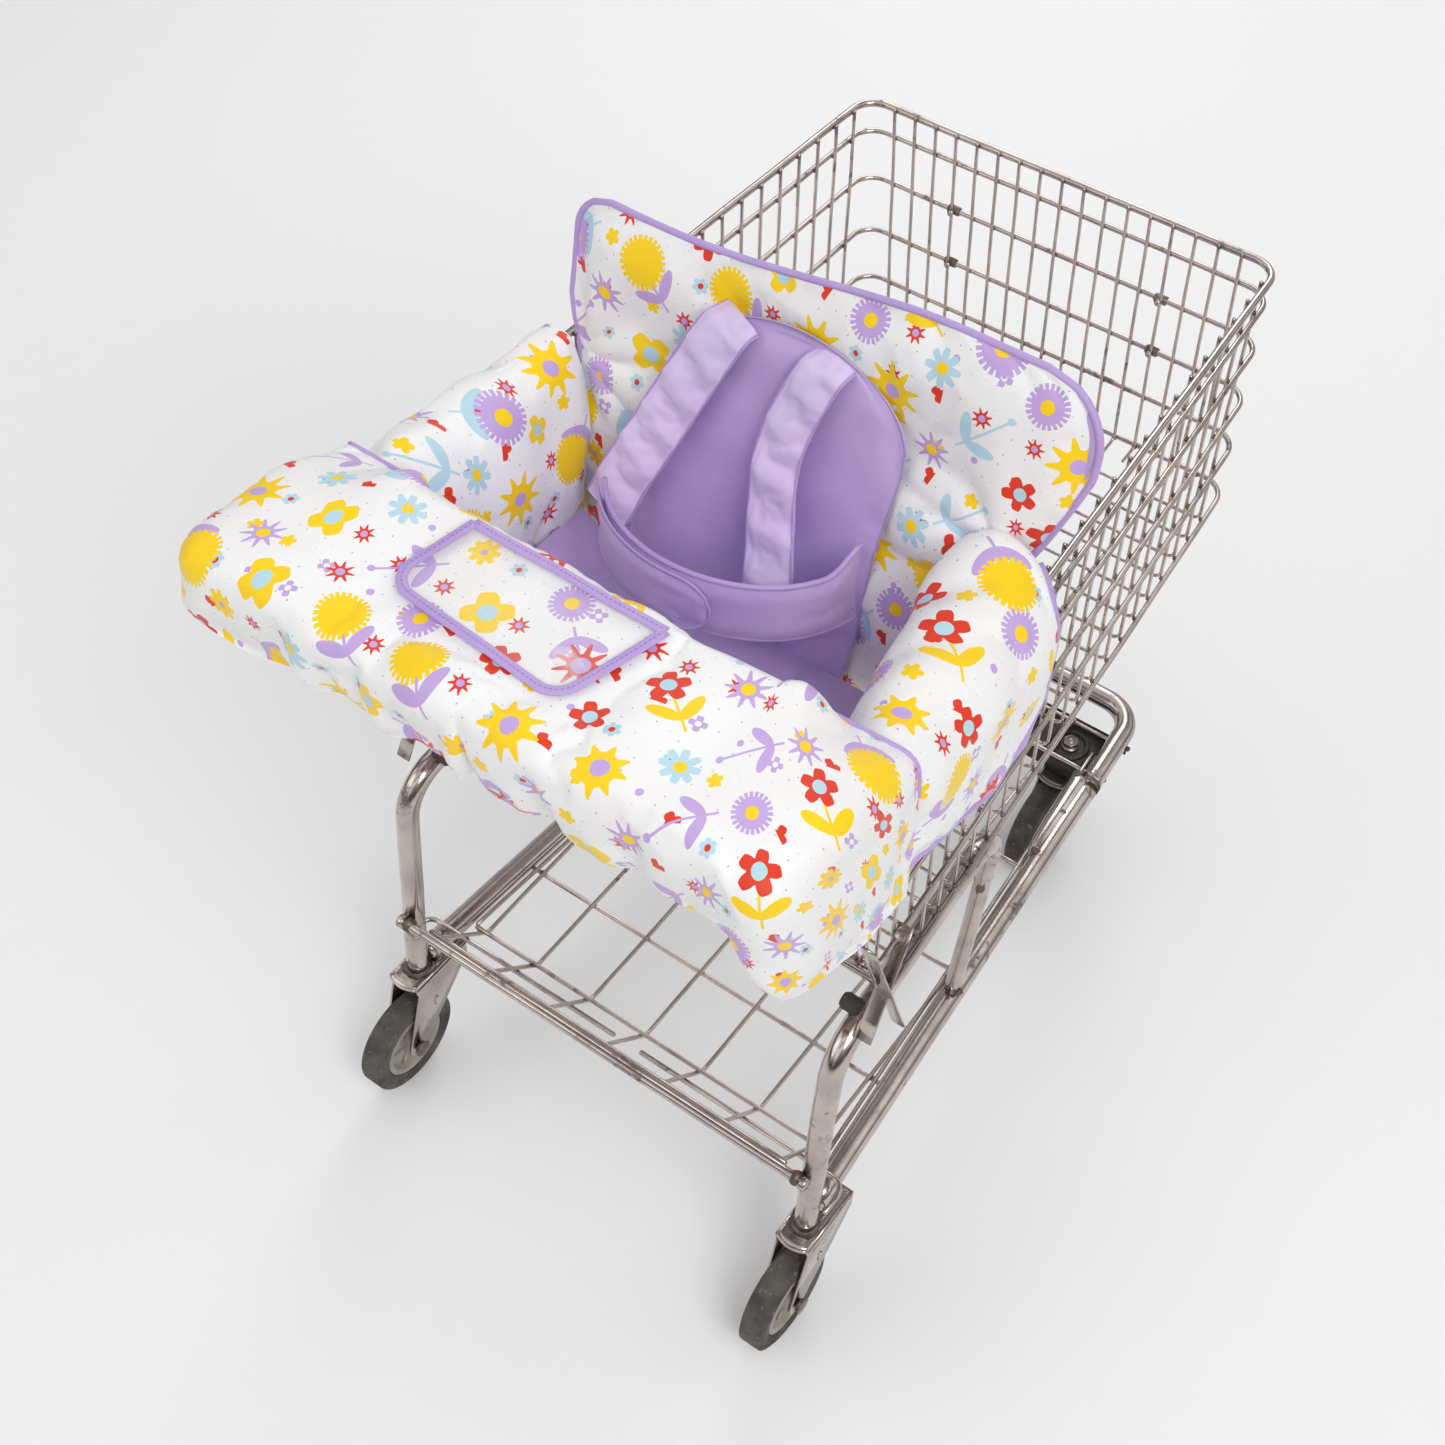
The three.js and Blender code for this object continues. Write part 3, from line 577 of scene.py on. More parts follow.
# ---- Wheels, forks and casters ----
def rounded_profile(corners, radius, steps=4):
    """A closed (radius, along) profile with its corners rounded, for lathe()."""
    loop = [np.array([r, a, 0.0]) for r, a in corners]
    path = bent([loop[-1]] + loop + [loop[0]], radius, steps)[1:-1]
    points = [(float(p[0]), float(p[1])) for p in path]
    return points + [points[0]]


def mirrored(profile):
    """A profile closed by its own mirror image on the other side of the wheel."""
    return profile + [(r, -a) for r, a in reversed(profile)]


def tyre(centre, name, body, replaced):
    half = 15.5
    wall = [(HUB_RADIUS + 0.5, -half + 2), (WHEEL_RADIUS - 8, -half), (WHEEL_RADIUS, -half + 3.5)]
    shape = Shape()
    lathe(shape, rounded_profile(mirrored(wall), 1.8), centre, sides=72)
    piece(shape, name, RUBBER, replaced, body=body)


def hub(centre, name, body, replaced):
    """A dished hub: a rim lip, a recessed web with ribs, and a bearing boss."""
    face = [(5.3, 15), (13, 15), (14, 13), (14.5, 6), (33, 4.5), (36, 12.5), (38, 14), (HUB_RADIUS, 13)]
    shape = Shape()
    lathe(shape, rounded_profile(mirrored(face), 0.7, 2), centre, sides=64)
    for k in range(6):
        turn = math.radians(60 * k)
        out = np.array([math.cos(turn), 0.0, math.sin(turn)])
        for side in (-1, 1):
            middle = np.asarray(centre) + out * 24 + np.array([0, side * 6.5, 0])
            blob(shape, middle, (2.2, 2.6, 10.5), along=out, rings=8, sides=10)
    piece(shape, name, HUB_PLASTIC, replaced, body=body)


def axle(centre, name, body, replaced):
    """A bolt with a hexagon head at one end, a nut at the other, and a washer under each."""
    half, shank, head = 20.5, 5.0, 8.5
    tip = half + 7
    shape = Shape()
    rod = [(0, -half - 5), (shank, -half - 5), (shank, tip - 1), (shank - 1, tip), (0, tip)]
    lathe(shape, rod, centre, sides=20)
    for end in (-1, 1):
        low, high = sorted((end * half, end * (half + 5)))
        nut = [(0, low), (head - 0.8, low), (head, low + 0.8)]
        nut += [(head, high - 0.9), (head - 1.2, high), (0, high)]
        washer = [(0, low - 0.9), (head + 2, low - 0.9), (head + 2, low + 0.3), (0, low + 0.3)]
        lathe(shape, nut, centre, sides=6)
        lathe(shape, washer, centre, sides=28)
    piece(shape, name, ZINC, replaced, body=body)


def fork(centre, rear, front, top, name, body, look, replaced):
    """A pressed wheel fork: two raked legs joined by a top plate with a rolled rear lip."""
    half, sheet, tip = 18.5, 3.0, 14.0
    base = np.asarray(centre, float)
    middle = (rear + front) / 2
    outline = [(rear, top), (rear + 1.5, top - 16)] + arc((0, 0), tip, 168, 325, 14)
    outline += [(front - 1, top - 26), (front, top)]
    rivet = [(0, -1.2), (3.4, -1.2), (3.0, 0.6), (0, 1.0)]
    shape = Shape()
    for side in (-1, 1):
        plate(shape, outline, sheet, base + np.array([0, side * half, 0]), (1, 0, 0), (0, 0, 1))
        lathe(shape, rivet, base + np.array([middle - 8, side * (half + 1.4), top - 34]), (0, side, 0), 16)
        dimple = base + np.array([middle - 16, side * (half + 1.2), top - 52])
        blob(shape, dimple, (3.2, 1.6, 9), along=(0.35, 0, 1))
    # The top plate is rounded over both long edges and bulges to the rear.
    columns, rows = 14, 9
    edge_drop = 2.25
    lid = []
    for i in range(columns + 1):
        x = rear + (front - rear) * i / columns
        for across in -1 + 2 * np.arange(rows + 1) / rows:
            bulge = -6 * (1 - across * across) * max(0.0, 1 - i / 3)
            lid.append(base + np.array([x + bulge, across * (half + sheet / 2), top - edge_drop * across**6]))
    lid = np.array(lid)
    count, row = len(lid), rows + 1
    faces = []
    for a in (i * row + j for i in range(columns) for j in range(rows)):
        quad = (a, a + row, a + row + 1, a + 1)
        faces += [quad, tuple(count + q for q in reversed(quad))]
    ring = [i * row for i in range(columns + 1)]
    ring += [columns * row + j for j in range(1, row)]
    ring += [i * row + rows for i in range(columns - 1, -1, -1)]
    ring += list(range(rows - 1, 0, -1))
    faces += [(a, count + a, count + b, b) for a, b in zip(ring, ring[1:] + ring[:1])]
    shape.add(np.vstack([lid, lid - np.array([0, 0, sheet])]), faces)
    across = np.linspace(-half, half, 13)
    lip = [base + np.array([rear - 6 * (1 - (y / half) ** 2), y, top - 1.6]) for y in across]
    tube(shape, lip, 2.2, 8)
    piece(shape, name, look, replaced, body=body)


def caster_race(side_name, sign):
    """The swivel bearing: two pressed cups with a bead between, and the kingpin's head and nut."""
    low = node_box(f"swivel_bearing_{side_name}")[0][2]
    y = sign * 168.0
    up = (0, 0, 1)
    cups = [(7, 0), (22, 0), (26, 3.5), (27, 8), (26, 10.5), (24.5, 12), (26, 13.5), (27, 16), (25, 21),
            (20, 30), (7, 30), (7, 0)]
    shape = Shape()
    lathe(shape, cups, (KINGPIN_X, y, low), up, 40)
    piece(shape, f"caster_race_{side_name}", BLACK_STEEL, f"swivel_bearing_{side_name}")
    pin = [(0, 123), (7, 123.5), (11, 126), (11, 132.5), (6, 132.5), (6, 171), (12, 171), (12, 172.5),
           (6, 172.5), (6, 180), (0, 181)]
    nut = [(0, 172.5), (9.4, 172.5), (10, 173.3), (10, 178), (8.8, 179), (0, 179)]
    shape = Shape()
    lathe(shape, pin, (KINGPIN_X, y, 0), up, 28)
    lathe(shape, nut, (KINGPIN_X, y, 0), up, 6)
    piece(shape, f"caster_bolt_{side_name}", ZINC, f"kingpin_{side_name}")


def wheels():
    for side_name, sign in SIDES:
        for end, fork_body, reach, look in (
            ("rear", "root", (11.0, 96.0), METAL),
            ("front", f"caster_{side_name}", (14.0, 84.0), ZINC),
        ):
            low, high = node_box(f"{end}_tyre_{side_name}")
            centre = (low + high) / 2
            wheel_body = f"{end}_wheel_{side_name}"
            tyre(centre, f"{end}_wheel_tyre_{side_name}", wheel_body, f"{end}_tyre_{side_name}")
            hub(centre, f"{end}_wheel_hub_{side_name}", wheel_body, f"{end}_hub_{side_name}")
            axle(centre, f"{end}_axle_bolt_{side_name}", fork_body, f"{end}_axle_{side_name}")
            node = f"{end}_fork_{side_name}"
            top = node_box(node)[1][2] - centre[2]
            fork(centre, *reach, top, f"{end}_wheel_fork_{side_name}", fork_body, look, node)
        caster_race(side_name, sign)


# ---- Frame ----
def lower_frame():
    """Two side tubes, and the bow whose flattened legs are lapped inside them and welded."""
    for side_name, sign in SIDES:
        shape = Shape()
        line = [(x, sign * tube_y(x), TUBE_Z) for x in np.linspace(56, 700, 40)]
        tube(shape, ripple(line, 0.25, sign), TUBE_RADIUS, 24)
        cap = [(x, sign * tube_y(x), TUBE_Z) for x in (56, 51)]
        tube(shape, cap, [TUBE_RADIUS * 0.97, TUBE_RADIUS * 0.8], 24)
        lap = [(x, sign * (tube_y(x) - 11), TUBE_Z + 6) for x in (568, 580, 600, 640, 690, 706)]
        tube(shape, lap, [5, 8, 10, 11, 12, 12], 16, flat=0.8)
        for x, size in ((572, 7), (700, 11), (640, 6)):
            blob(shape, (x, sign * (tube_y(x) - 7), TUBE_Z + 11), (size, 5, 4), SCALED, seed=x)
        piece(shape, f"side_tube_{side_name}", METAL, f"frame_tube_{side_name}")
    shape = Shape()
    end, corner = (700.6, tube_y(700)), (835, 213.6)
    corners = [(*end, TUBE_Z), (*corner, TUBE_Z), (corner[0], -corner[1], TUBE_Z), (end[0], -end[1], TUBE_Z)]
    tube(shape, ripple(dense(bent(corners, 42, 10), 12), 0.5, 2.0), TUBE_RADIUS, 24)
    for sign in (-1, 1):
        collar = [(x, sign * tube_y(x), TUBE_Z) for x in (699, 706)]
        tube(shape, collar, TUBE_RADIUS + 1.1, 24, SCALED)
    piece(shape, "front_bow_tube", METAL, "front_bow")


def upright(side_name, sign):
    """A bent tube from the rear fork, forward under the basket, and down to the side tube."""
    corners = [(35, 266, 168), (63, 265, 471), (370, 256, 500.7), (352, 245, 199.6)]
    path = dense(bent([(x, sign * y, z) for x, y, z in corners], 52, 10), 14)
    travel = travel_along(path)
    # The front leg is drawn thinner below its bend.
    drawn = np.clip((travel - travel[-1] + 265) / 70, 0, 1)
    shape = Shape()
    tube(shape, ripple(path, 0.3, 1 + sign), 12.5 - drawn * 3.1, 20, hint=(0, 1, 0))
    for centre, size in (((35, sign * 266, 170), (17, 17, 5)), ((352, sign * 246, 200), (12, 8, 6))):
        blob(shape, centre, size, SCALED, seed=size[0])
    blob(shape, (363.5, sign * 252, 400), (9, 10.4, 26), SCALED, along=(0.1, 0, 1), seed=4)
    piece(shape, f"upright_tube_{side_name}", METAL, f"rear_upright_{side_name}")


def rods_and_hooks():
    """The rod across the rear uprights with its cap nuts, and the two wires under the rack."""
    shape = Shape()
    x, reach, z = 26, 264, 272
    bar(shape, (x, -reach, z), (x, reach, z), 5.5, 14, 25, 0.3, 5)
    cap_nut = [(0, 0), (7.5, 0), (8, 1), (8, 6), (7, 7.5), (0, 8)]
    for sign in (-1, 1):
        blob(shape, (x + 1, sign * 256, z), (9, 9, 7), SCALED, along=(0, 1, 0), seed=sign)
        lathe(shape, cap_nut, (x, sign * 262, z), (0, sign, 0), 24)
    piece(shape, "rear_brace_rod", METAL, "rear_rod")
    for side_name, sign in SIDES:
        shape = Shape()
        corners = [(80, sign * 17, 204.6), (80, sign * 284, 204.6), (40, sign * 284, 204.6)]
        wire(shape, bent(corners, 16, 6), 3, 10)
        piece(shape, f"hook_rod_{side_name}", METAL, f"hook_wire_{side_name}")


def caster_channel():
    """A pressed cross channel under the bow, with a long slot and bent flanges."""
    low, high = node_box("caster_channel")
    bottom, top = low[2], high[2]
    section = [(low[0], bottom), (low[0], top - 4), (low[0] + 1.2, top - 1.2), (low[0] + 4, top),
               (high[0] - 4, top), (high[0] - 1.2, top - 1.2), (high[0], top - 4), (high[0], bottom),
               (high[0] - 3, bottom), (high[0] - 3, top - 4), (high[0] - 5, top - 3),
               (low[0] + 5, top - 3), (low[0] + 3, top - 4), (low[0] + 3, bottom)]
    stations = np.linspace(-high[1], high[1], 31)
    count = len(section)
    points = [(x, y, z) for y in stations for x, z in section]
    faces = []
    for i in range(len(stations) - 1):
        faces += [face[::-1] for face in ring_faces(i * count, (i + 1) * count, count)]
    faces.append(tuple(range(count)))
    faces.append(tuple((len(stations) - 1) * count + j for j in reversed(range(count))))
    shape = Shape()
    shape.add(points, faces)
    rim = arc((0, 0), 9, 90, 270, 8) + arc((90, 0), 9, -90, 90, 8)
    seat_ring = [(18, 0), (19, 2.0), (24, 2.0), (25, 0), (18, 0)]
    for sign in (-1, 1):
        slot = [(762 + y, sign * 20 + x * sign, top + 0.2) for x, y in rim]
        tube(shape, slot, 1.6, 8, closed=True)
        lathe(shape, seat_ring, (KINGPIN_X, sign * 168, top), (0, 0, 1), 36)
    piece(shape, "caster_cross_channel", BLACK_STEEL, "caster_channel")


# ---- Bottom rack ----
def bottom_rack():
    """Seven wires from the nose back and up the rear ramp, over cross wires and two edge wires."""
    shape = Shape()
    ramp_foot, ramp_top = np.array([113, 0, 178.5]), np.array([33, 0, 263.0])
    for k in range(-3, 4):
        outer = abs(k) == 3
        y = k * RACK_PITCH * (0.985 if outer else 1)
        shift = np.array([0, y, 0])
        corners = [ramp_top + shift, ramp_foot + shift, np.array([760 if outer else RACK_FRONT, y, RACK_Z])]
        wire(shape, ripple(dense(bent(corners, 14, 5), 24), 0.35, k), WIRE_RADIUS + 0.7, 10)
    for sign in (-1, 1):
        stations = np.linspace(RACK_REAR, RACK_FRONT - 40, 26)
        line = [(x, sign * (tube_y(x) - TUBE_RADIUS - 5), RACK_Z + 4) for x in stations]
        wire(shape, line, WIRE_RADIUS + 0.7, 10)
    for x in RACK_CROSS + (RACK_FRONT - 4,):
        reach, z = tube_y(x) - 6, RACK_Z - 4.4
        bar(shape, (x, -reach, z), (x, reach, z), WIRE_RADIUS + 0.9, 10, 24, 0.35, x)
        for k in range(-3, 4):
            blob(shape, (x, k * RACK_PITCH, RACK_Z - 2.2), (3.0, 3.4, 3.2), SCALED, seed=x + k)
    across = tube_y(RACK_REAR) - TUBE_RADIUS - 10
    for share, radius in ((0.12, 2.6), (0.97, 3.4)):
        centre = ramp_foot + (ramp_top - ramp_foot) * share + np.array([2.2, 0, 3.6])
        bar(shape, centre - [0, across, 0], centre + [0, across, 0], radius, 12)
        for k in range(-3, 4):
            blob(shape, centre + np.array([-1, k * RACK_PITCH, -1.5]), (3, 3.4, 3), SCALED, seed=k)
    piece(shape, "bottom_rack_wires", METAL, "bottom_rack")


# ---- Basket ----
def hoop_line(hoop, offset, rear):
    """A hoop's line round both sides and the nose, offset outwards from the upright wires."""
    nose = front_x(hoop[0]) + offset
    ends = ((rear, 1), (nose, 1), (nose, -1), (rear, -1))
    corners = [(x, sign * (side_y(x) + offset), hoop_z(hoop, x)) for x, sign in ends]
    return dense(bent(corners, 27, 8), 22)


def side_rear(z):
    """Where the side panel ends at a height: its rear edge leans with the gate."""
    high, low = hoop_z(RIM, SIDE_REAR_TOP), hoop_z(FLOOR_HOOP, SIDE_REAR_LOW)
    return SIDE_REAR_TOP + (high - z) / (high - low) * (SIDE_REAR_LOW - SIDE_REAR_TOP)


def basket_hoops():
    """The rim, and the five thick hoops that the upright wires are welded inside."""
    for index, hoop in enumerate((RIM,) + HOOPS):
        radius, sides = (HOOP_RADIUS, 12) if index else (RIM_RADIUS, 14)
        rear = side_rear(hoop_z(hoop, 60)) - 4 if index else SIDE_REAR_TOP - 6
        name = f"hoop_wire_{index}" if index else "rim_wire"
        shape = Shape()
        line = hoop_line(hoop, WIRE_RADIUS + radius + 0.1, rear)
        wire(shape, ripple(line, 0.4, index or 1.0), radius, sides)
        piece(shape, f"basket_{name}", METAL, f"basket_hoop_{index}" if index else "basket_rim")


def weld(shape, point, outward, seed):
    """A bead where two wires cross."""
    centre = np.asarray(point) + np.asarray(outward) * 1.6
    blob(shape, centre, (2.9, 2.9, 2.3), SCALED, along=outward, rings=4, sides=7, seed=seed)


def basket_front():
    """Upright wires of the front panel, bent under the floor, with two pairs of clips."""
    shape = Shape()
    floor_x, floor_z = front_x(FLOOR_HOOP[0]), FLOOR_HOOP[0]
    for k in range(FRONT_WIRES):
        y = (k - (FRONT_WIRES - 1) / 2) * FRONT_PITCH
        corners = [(front_x(RIM[0]), y, RIM[0] + 4), (floor_x, y, floor_z + 1)]
        corners.append((floor_x - 26, y, floor_z - 1.5))
        wire(shape, ripple(dense(bent(corners, 8, 4), 26), 0.35, k), WIRE_RADIUS)
        for hoop in (RIM,) + HOOPS:
            weld(shape, (front_x(hoop[0]), y, hoop[0]), (1, 0, 0.08), k + hoop[0])
    clip = [(0, -7), (4.4, -7), (5, -6), (5, 6), (4.4, 7), (0, 7)]
    stud = [(0, 0), (3.4, 0), (3.4, 4), (0, 4.5)]
    for y in (-126, 126):
        for z, _ in CLIP_HOOPS:
            x = front_x(z) + 5
            lathe(shape, clip, (x, y, z), (0, 1, 0), 16, SCALED)
            lathe(shape, stud, (x - 6, y, z + 1), (-1, 0, 0), 14)
    piece(shape, "basket_front_wires", METAL, "basket_front")


def side_stations():
    """x of each side wire, from the nose back."""
    first = front_x(RIM[0]) - 25.8
    return list(np.arange(first, SIDE_REAR_TOP + 8, -SIDE_PITCH))


def basket_side(side_name, sign):
    """Upright wires of one side panel; the long ones bend in to run under the floor."""
    shape = Shape()
    out = np.array([0, sign, 0.0])
    for index, x in enumerate(side_stations()):
        y = sign * side_y(x)
        top = (x, y, hoop_z(RIM, x) + 3.5)
        low = floor = hoop_z(FLOOR_HOOP, x)
        if x > SIDE_REAR_LOW:
            path = dense(bent([top, (x, y, floor - 1), (x, y - sign * 40, floor - 1)], 9, 4), 26)
        else:
            share = (x - SIDE_REAR_TOP) / (SIDE_REAR_LOW - SIDE_REAR_TOP)
            low = hoop_z(RIM, x) * (1 - share) + floor * share
            path = split(top, (x, y, low - 3), 26)
        wire(shape, ripple(path, 0.35, index), WIRE_RADIUS)
        for hoop in (RIM,) + HOOPS:
            if hoop_z(hoop, x) > low - 4:
                weld(shape, (x, y, hoop_z(hoop, x)), out, index + hoop[0])
    edge = [(SIDE_REAR_TOP, hoop_z(RIM, SIDE_REAR_TOP) + 3)]
    edge.append((SIDE_REAR_LOW, hoop_z(FLOOR_HOOP, SIDE_REAR_LOW)))
    line = [(x, sign * side_y(x), z) for x, z in edge]
    bar(shape, *line, WIRE_RADIUS + 1.1, 12, 25)
    # Two flat hanger straps cross near the rear end and carry the basket on the upright.
    for ends in (((70, 655, 10), (143, 442, 17)), ((146, 600, 10), (82, 488, 10))):
        line = [(x, sign * (side_y(x) + gap), z) for x, z, gap in ends]
        tube(shape, split(*line, 20), 8.5, 12, flat=0.16, hint=(1, 0, 0))
    piece(shape, f"basket_side_wires_{side_name}", METAL, f"basket_side_{side_name}")


def basket_floor():
    """Floor wires across the basket from side to side, over five long ones."""
    shape = Shape()
    for index, x in enumerate(side_stations()):
        if x >= FLOOR_REAR - 6:
            half, z = side_y(x) - 20, hoop_z(FLOOR_HOOP, x) - 1
            bar(shape, (x, -half, z), (x, half, z), WIRE_RADIUS, 8, 26, 0.4, index)
    nose = front_x(FLOOR_HOOP[0])
    for k in (-2, -1, 0, 1, 2):
        y = k * 88.0
        start = (FLOOR_REAR - 4, y, hoop_z(FLOOR_HOOP, FLOOR_REAR) - 5)
        end = (nose, y, hoop_z(FLOOR_HOOP, nose) - 5)
        bar(shape, start, end, WIRE_RADIUS + 0.9, 10, 30, 0.4, k)
        for index, x in enumerate(side_stations()):
            if x > FLOOR_REAR:
                weld(shape, (x, y, hoop_z(FLOOR_HOOP, x) - 1.4), (0, 0, -1), index + k)
    half, z = side_y(FLOOR_REAR), hoop_z(FLOOR_HOOP, FLOOR_REAR) - 1
    bar(shape, (FLOOR_REAR, -half, z), (FLOOR_REAR, half, z), 3.0, 12)
    piece(shape, "basket_floor_wires", METAL, "basket_floor")


def cross_rod():
    """The rod across the basket's foot with its end nuts, and a rubber buffer on each upright."""
    low, high = node_box("basket_cross_rod")
    x, _, z = (low + high) / 2
    shape = Shape()
    bar(shape, (x, low[1], z), (x, high[1], z), 4, 12)
    nut = [(0, -12), (6.2, -12), (6.8, -11), (6.8, -6.5), (6, -6), (0, -6)]
    washer = [(0, -13.4), (9, -13.4), (9, -12.2), (0, -12.2)]
    buffer = [(0, -12), (7, -12), (9, -9), (9, 6), (7.5, 9), (0, 10)]
    for _, sign in SIDES[::-1]:
        end = (x, sign * high[1], z)
        lathe(shape, nut, end, (0, sign, 0), 6)
        lathe(shape, washer, end, (0, sign, 0), 24)
    piece(shape, "cross_rod", METAL, "basket_cross_rod")
    for side_name, sign in SIDES:
        shape = Shape()
        lathe(shape, buffer, (110, sign * 254, 487), (0, sign, 0), 28)
        piece(shape, f"rod_plug_{side_name}", RUBBER)


# ---- Handle, gate and child seat frame ----
def handle():
    """The grip between two plates, and the rod below it that the gate hangs on."""
    low, high = HANDLE_LOW[1], HANDLE_HIGH[1]
    radius = (HANDLE_HIGH[2] - HANDLE_LOW[2]) / 2
    grip = [(0, low), (radius - 2, low), (radius, low + 2), (radius, high - 2), (radius - 2, high), (0, high)]
    shape = Shape()
    lathe(shape, grip, (HANDLE_X, 0, HANDLE_Z), sides=36)
    piece(shape, "handle_grip", HANDLE_PLASTIC, "handle_bar")
    outline = [(30, 836), (30, 872)] + arc((HANDLE_X, HANDLE_Z), 15, 60, 230, 18)
    rivet = [(0, -3.5), (4.6, -3.5), (5.2, -2.8), (5.2, 2.6), (0, 3.4)]
    for side_name, sign in SIDES:
        shape = Shape()
        y = sign * 290.5
        plate(shape, outline, 4, np.array([0, y, 0]), (1, 0, 0), (0, 0, 1), bevel=0.9)
        for x, z in ((18, 857), (2, 872)):
            lathe(shape, rivet, (x, y, z), (0, -sign, 0), 20)
        piece(shape, f"handle_plate_{side_name}", METAL, f"handle_bracket_{side_name}")
    shape = Shape()
    bar(shape, on_gate(0, -284), on_gate(0, 284), 4, 12, 40)
    piece(shape, "gate_hinge_rod", METAL, "gate_rod")


def rear_gate():
    """The swinging rear gate: a wire panel with two leg openings, looped round its hinge rod."""
    shape = Shape()
    pitch, low_half, high_half = 41.6, 240.0, 262.0
    rows = (10.0, 61.0, 218.0, GATE_LENGTH - 3)

    def half(down):
        return high_half + (low_half - high_half) * down / GATE_LENGTH

    for down in rows:
        bar(shape, on_gate(down, -half(down)), on_gate(down, half(down)), 2.6)
    lift = GATE_NORMAL * 3.6
    for k in range(-6, 7):
        outer = abs(k) == 6
        top = on_gate(4, math.copysign(half(4) - 2, k) if outer else k * pitch)
        foot = on_gate(GATE_LENGTH, math.copysign(half(GATE_LENGTH) - 2, k) if outer else k * pitch)
        stretches = ((4, 63), (216, GATE_LENGTH)) if abs(k) in (2, 3, 4) else ((4, GATE_LENGTH),)
        for ends in stretches:
            a, b = (top + (foot - top) * (end - 4) / (GATE_LENGTH - 4) for end in ends)
            bar(shape, a + lift, b + lift, WIRE_RADIUS, 8, 25)
        for down in rows:
            bead = top + (foot - top) * down / GATE_LENGTH + GATE_NORMAL * 1.5
            weld(shape, bead, -GATE_NORMAL, k + down)
    turns = np.linspace(0, 2 * math.pi, 18)[:-1]
    for y in (-200, -80, 80, 200):
        ring = [GATE_HINGE + np.array([7 * math.cos(a), y, 7 * math.sin(a)]) for a in turns]
        tube(shape, ring, 2.4, 8, closed=True)
    tab = [(-5, -7), (5, -7), (5, 7), (-5, 7)]
    for down in (SEAT_HINGE_DOWN, 230):
        bar(shape, on_gate(down, -208, 12), on_gate(down, 208, 12), 3.5)
        for y in (-208, 208):
            plate(shape, tab, 16, on_gate(down, y, 6), (0, 1, 0), -GATE_DOWN)
    piece(shape, "rear_gate_wires", METAL, "rear_gate", body="gate")


def seat_frame():
    """The child seat's back: a wire panel on two arms that hinge on the gate."""
    shape = Shape()
    half, height, behind, columns = 212.0, 365.0, 23.0, 12
    corners = ((-half, -12), (-half, height), (half, height), (half, -12))
    loop = [on_seat(y, up, behind) for y, up in corners]
    wire(shape, dense(bent(loop, 30, 8), 25), 3.4, 12)
    for k in range(1, columns):
        y = -half + 2 * half * k / columns
        bar(shape, on_seat(y, -10, behind), on_seat(y, height - 2, behind), WIRE_RADIUS, 8)
    for up in (-10, 178, height - 4):
        bar(shape, on_seat(-half, up, behind + 3.6), on_seat(half, up, behind + 3.6), 2.4)
    knuckle = [(4.2, -4), (8, -4), (8, 4), (4.2, 4), (4.2, -4)]
    for y in (-185, 185):
        hinge, foot = on_gate(SEAT_HINGE_DOWN, y, 12), on_seat(y, -8, behind)
        bar(shape, hinge + unit(foot - hinge) * 6, foot, 3.6, 12, 20)
        lathe(shape, knuckle, hinge, sides=24)
    piece(shape, "seat_back_wires", METAL, "seat_back", body="child_seat_back")


def build_metal():
    wheels()
    lower_frame()
    for side_name, sign in SIDES:
        upright(side_name, sign)
        basket_side(side_name, sign)
    rods_and_hooks()
    caster_channel()
    bottom_rack()
    basket_hoops()
    basket_front()
    basket_floor()
    cross_rod()
    handle()
    rear_gate()
    seat_frame()
    # The seat pan is the CAD's own solid, with a plastic look.
    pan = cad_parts["seat_pan"].data
    pan.materials.clear()
    pan.materials.append(PAN_PLASTIC[1])


build_metal()


# ---- Fabric materials ----
WHITE = colour("#F1F2F2")
YELLOW = colour("#FCD30F")
RED = colour("#E03A1E")
LILAC = colour("#C3A6DE")
BLUE = colour("#B7D9E6")
WEAVE_PITCH = 0.0007


def step_smooth(value):
    value = np.clip(value, 0, 1)
    return value * value * (3 - 2 * value)


def fabric_finish(paint, base, uv, roughness=0.46, wrinkle=0.5, sheen=0.25):
    """Satin-woven polyester: fine weave, soft crumples, and a little sheen."""
    u, v, _ = paint.split(uv)
    thread = 2 * math.pi / WEAVE_PITCH
    weave = paint.math("SINE", u * thread) * paint.math("SINE", v * thread)
    at = paint.place()
    soft = paint.noise(at, 30, 2, 0.4)
    folds = paint.noise(paint.scaled(at, 1.0, 1.0, 1.5), 11, 2, 0.5)
    paint.set(Base_Color=base, Roughness=paint.span(soft, 0.3, 0.7, roughness - 0.05, roughness + 0.07))
    paint.set(Sheen_Weight=sheen, Sheen_Roughness=0.4, Specular_IOR_Level=0.35)
    height = soft * 0.45 * wrinkle + folds * 1.6 * wrinkle + weave * 0.01
    paint.bump(height, 0.5, 0.006)


def cloth(name, tone, shade, wrinkle=0.5):
    """Plain dyed fabric, a little cloudy."""
    paint = Paint(name)
    uv = paint.place()
    cloud = paint.span(paint.noise(paint.place(), 9, 3), 0.35, 0.65)
    fabric_finish(paint, paint.mix(cloud, colour(tone), colour(shade)), uv, wrinkle=wrinkle)
    return paint.look()


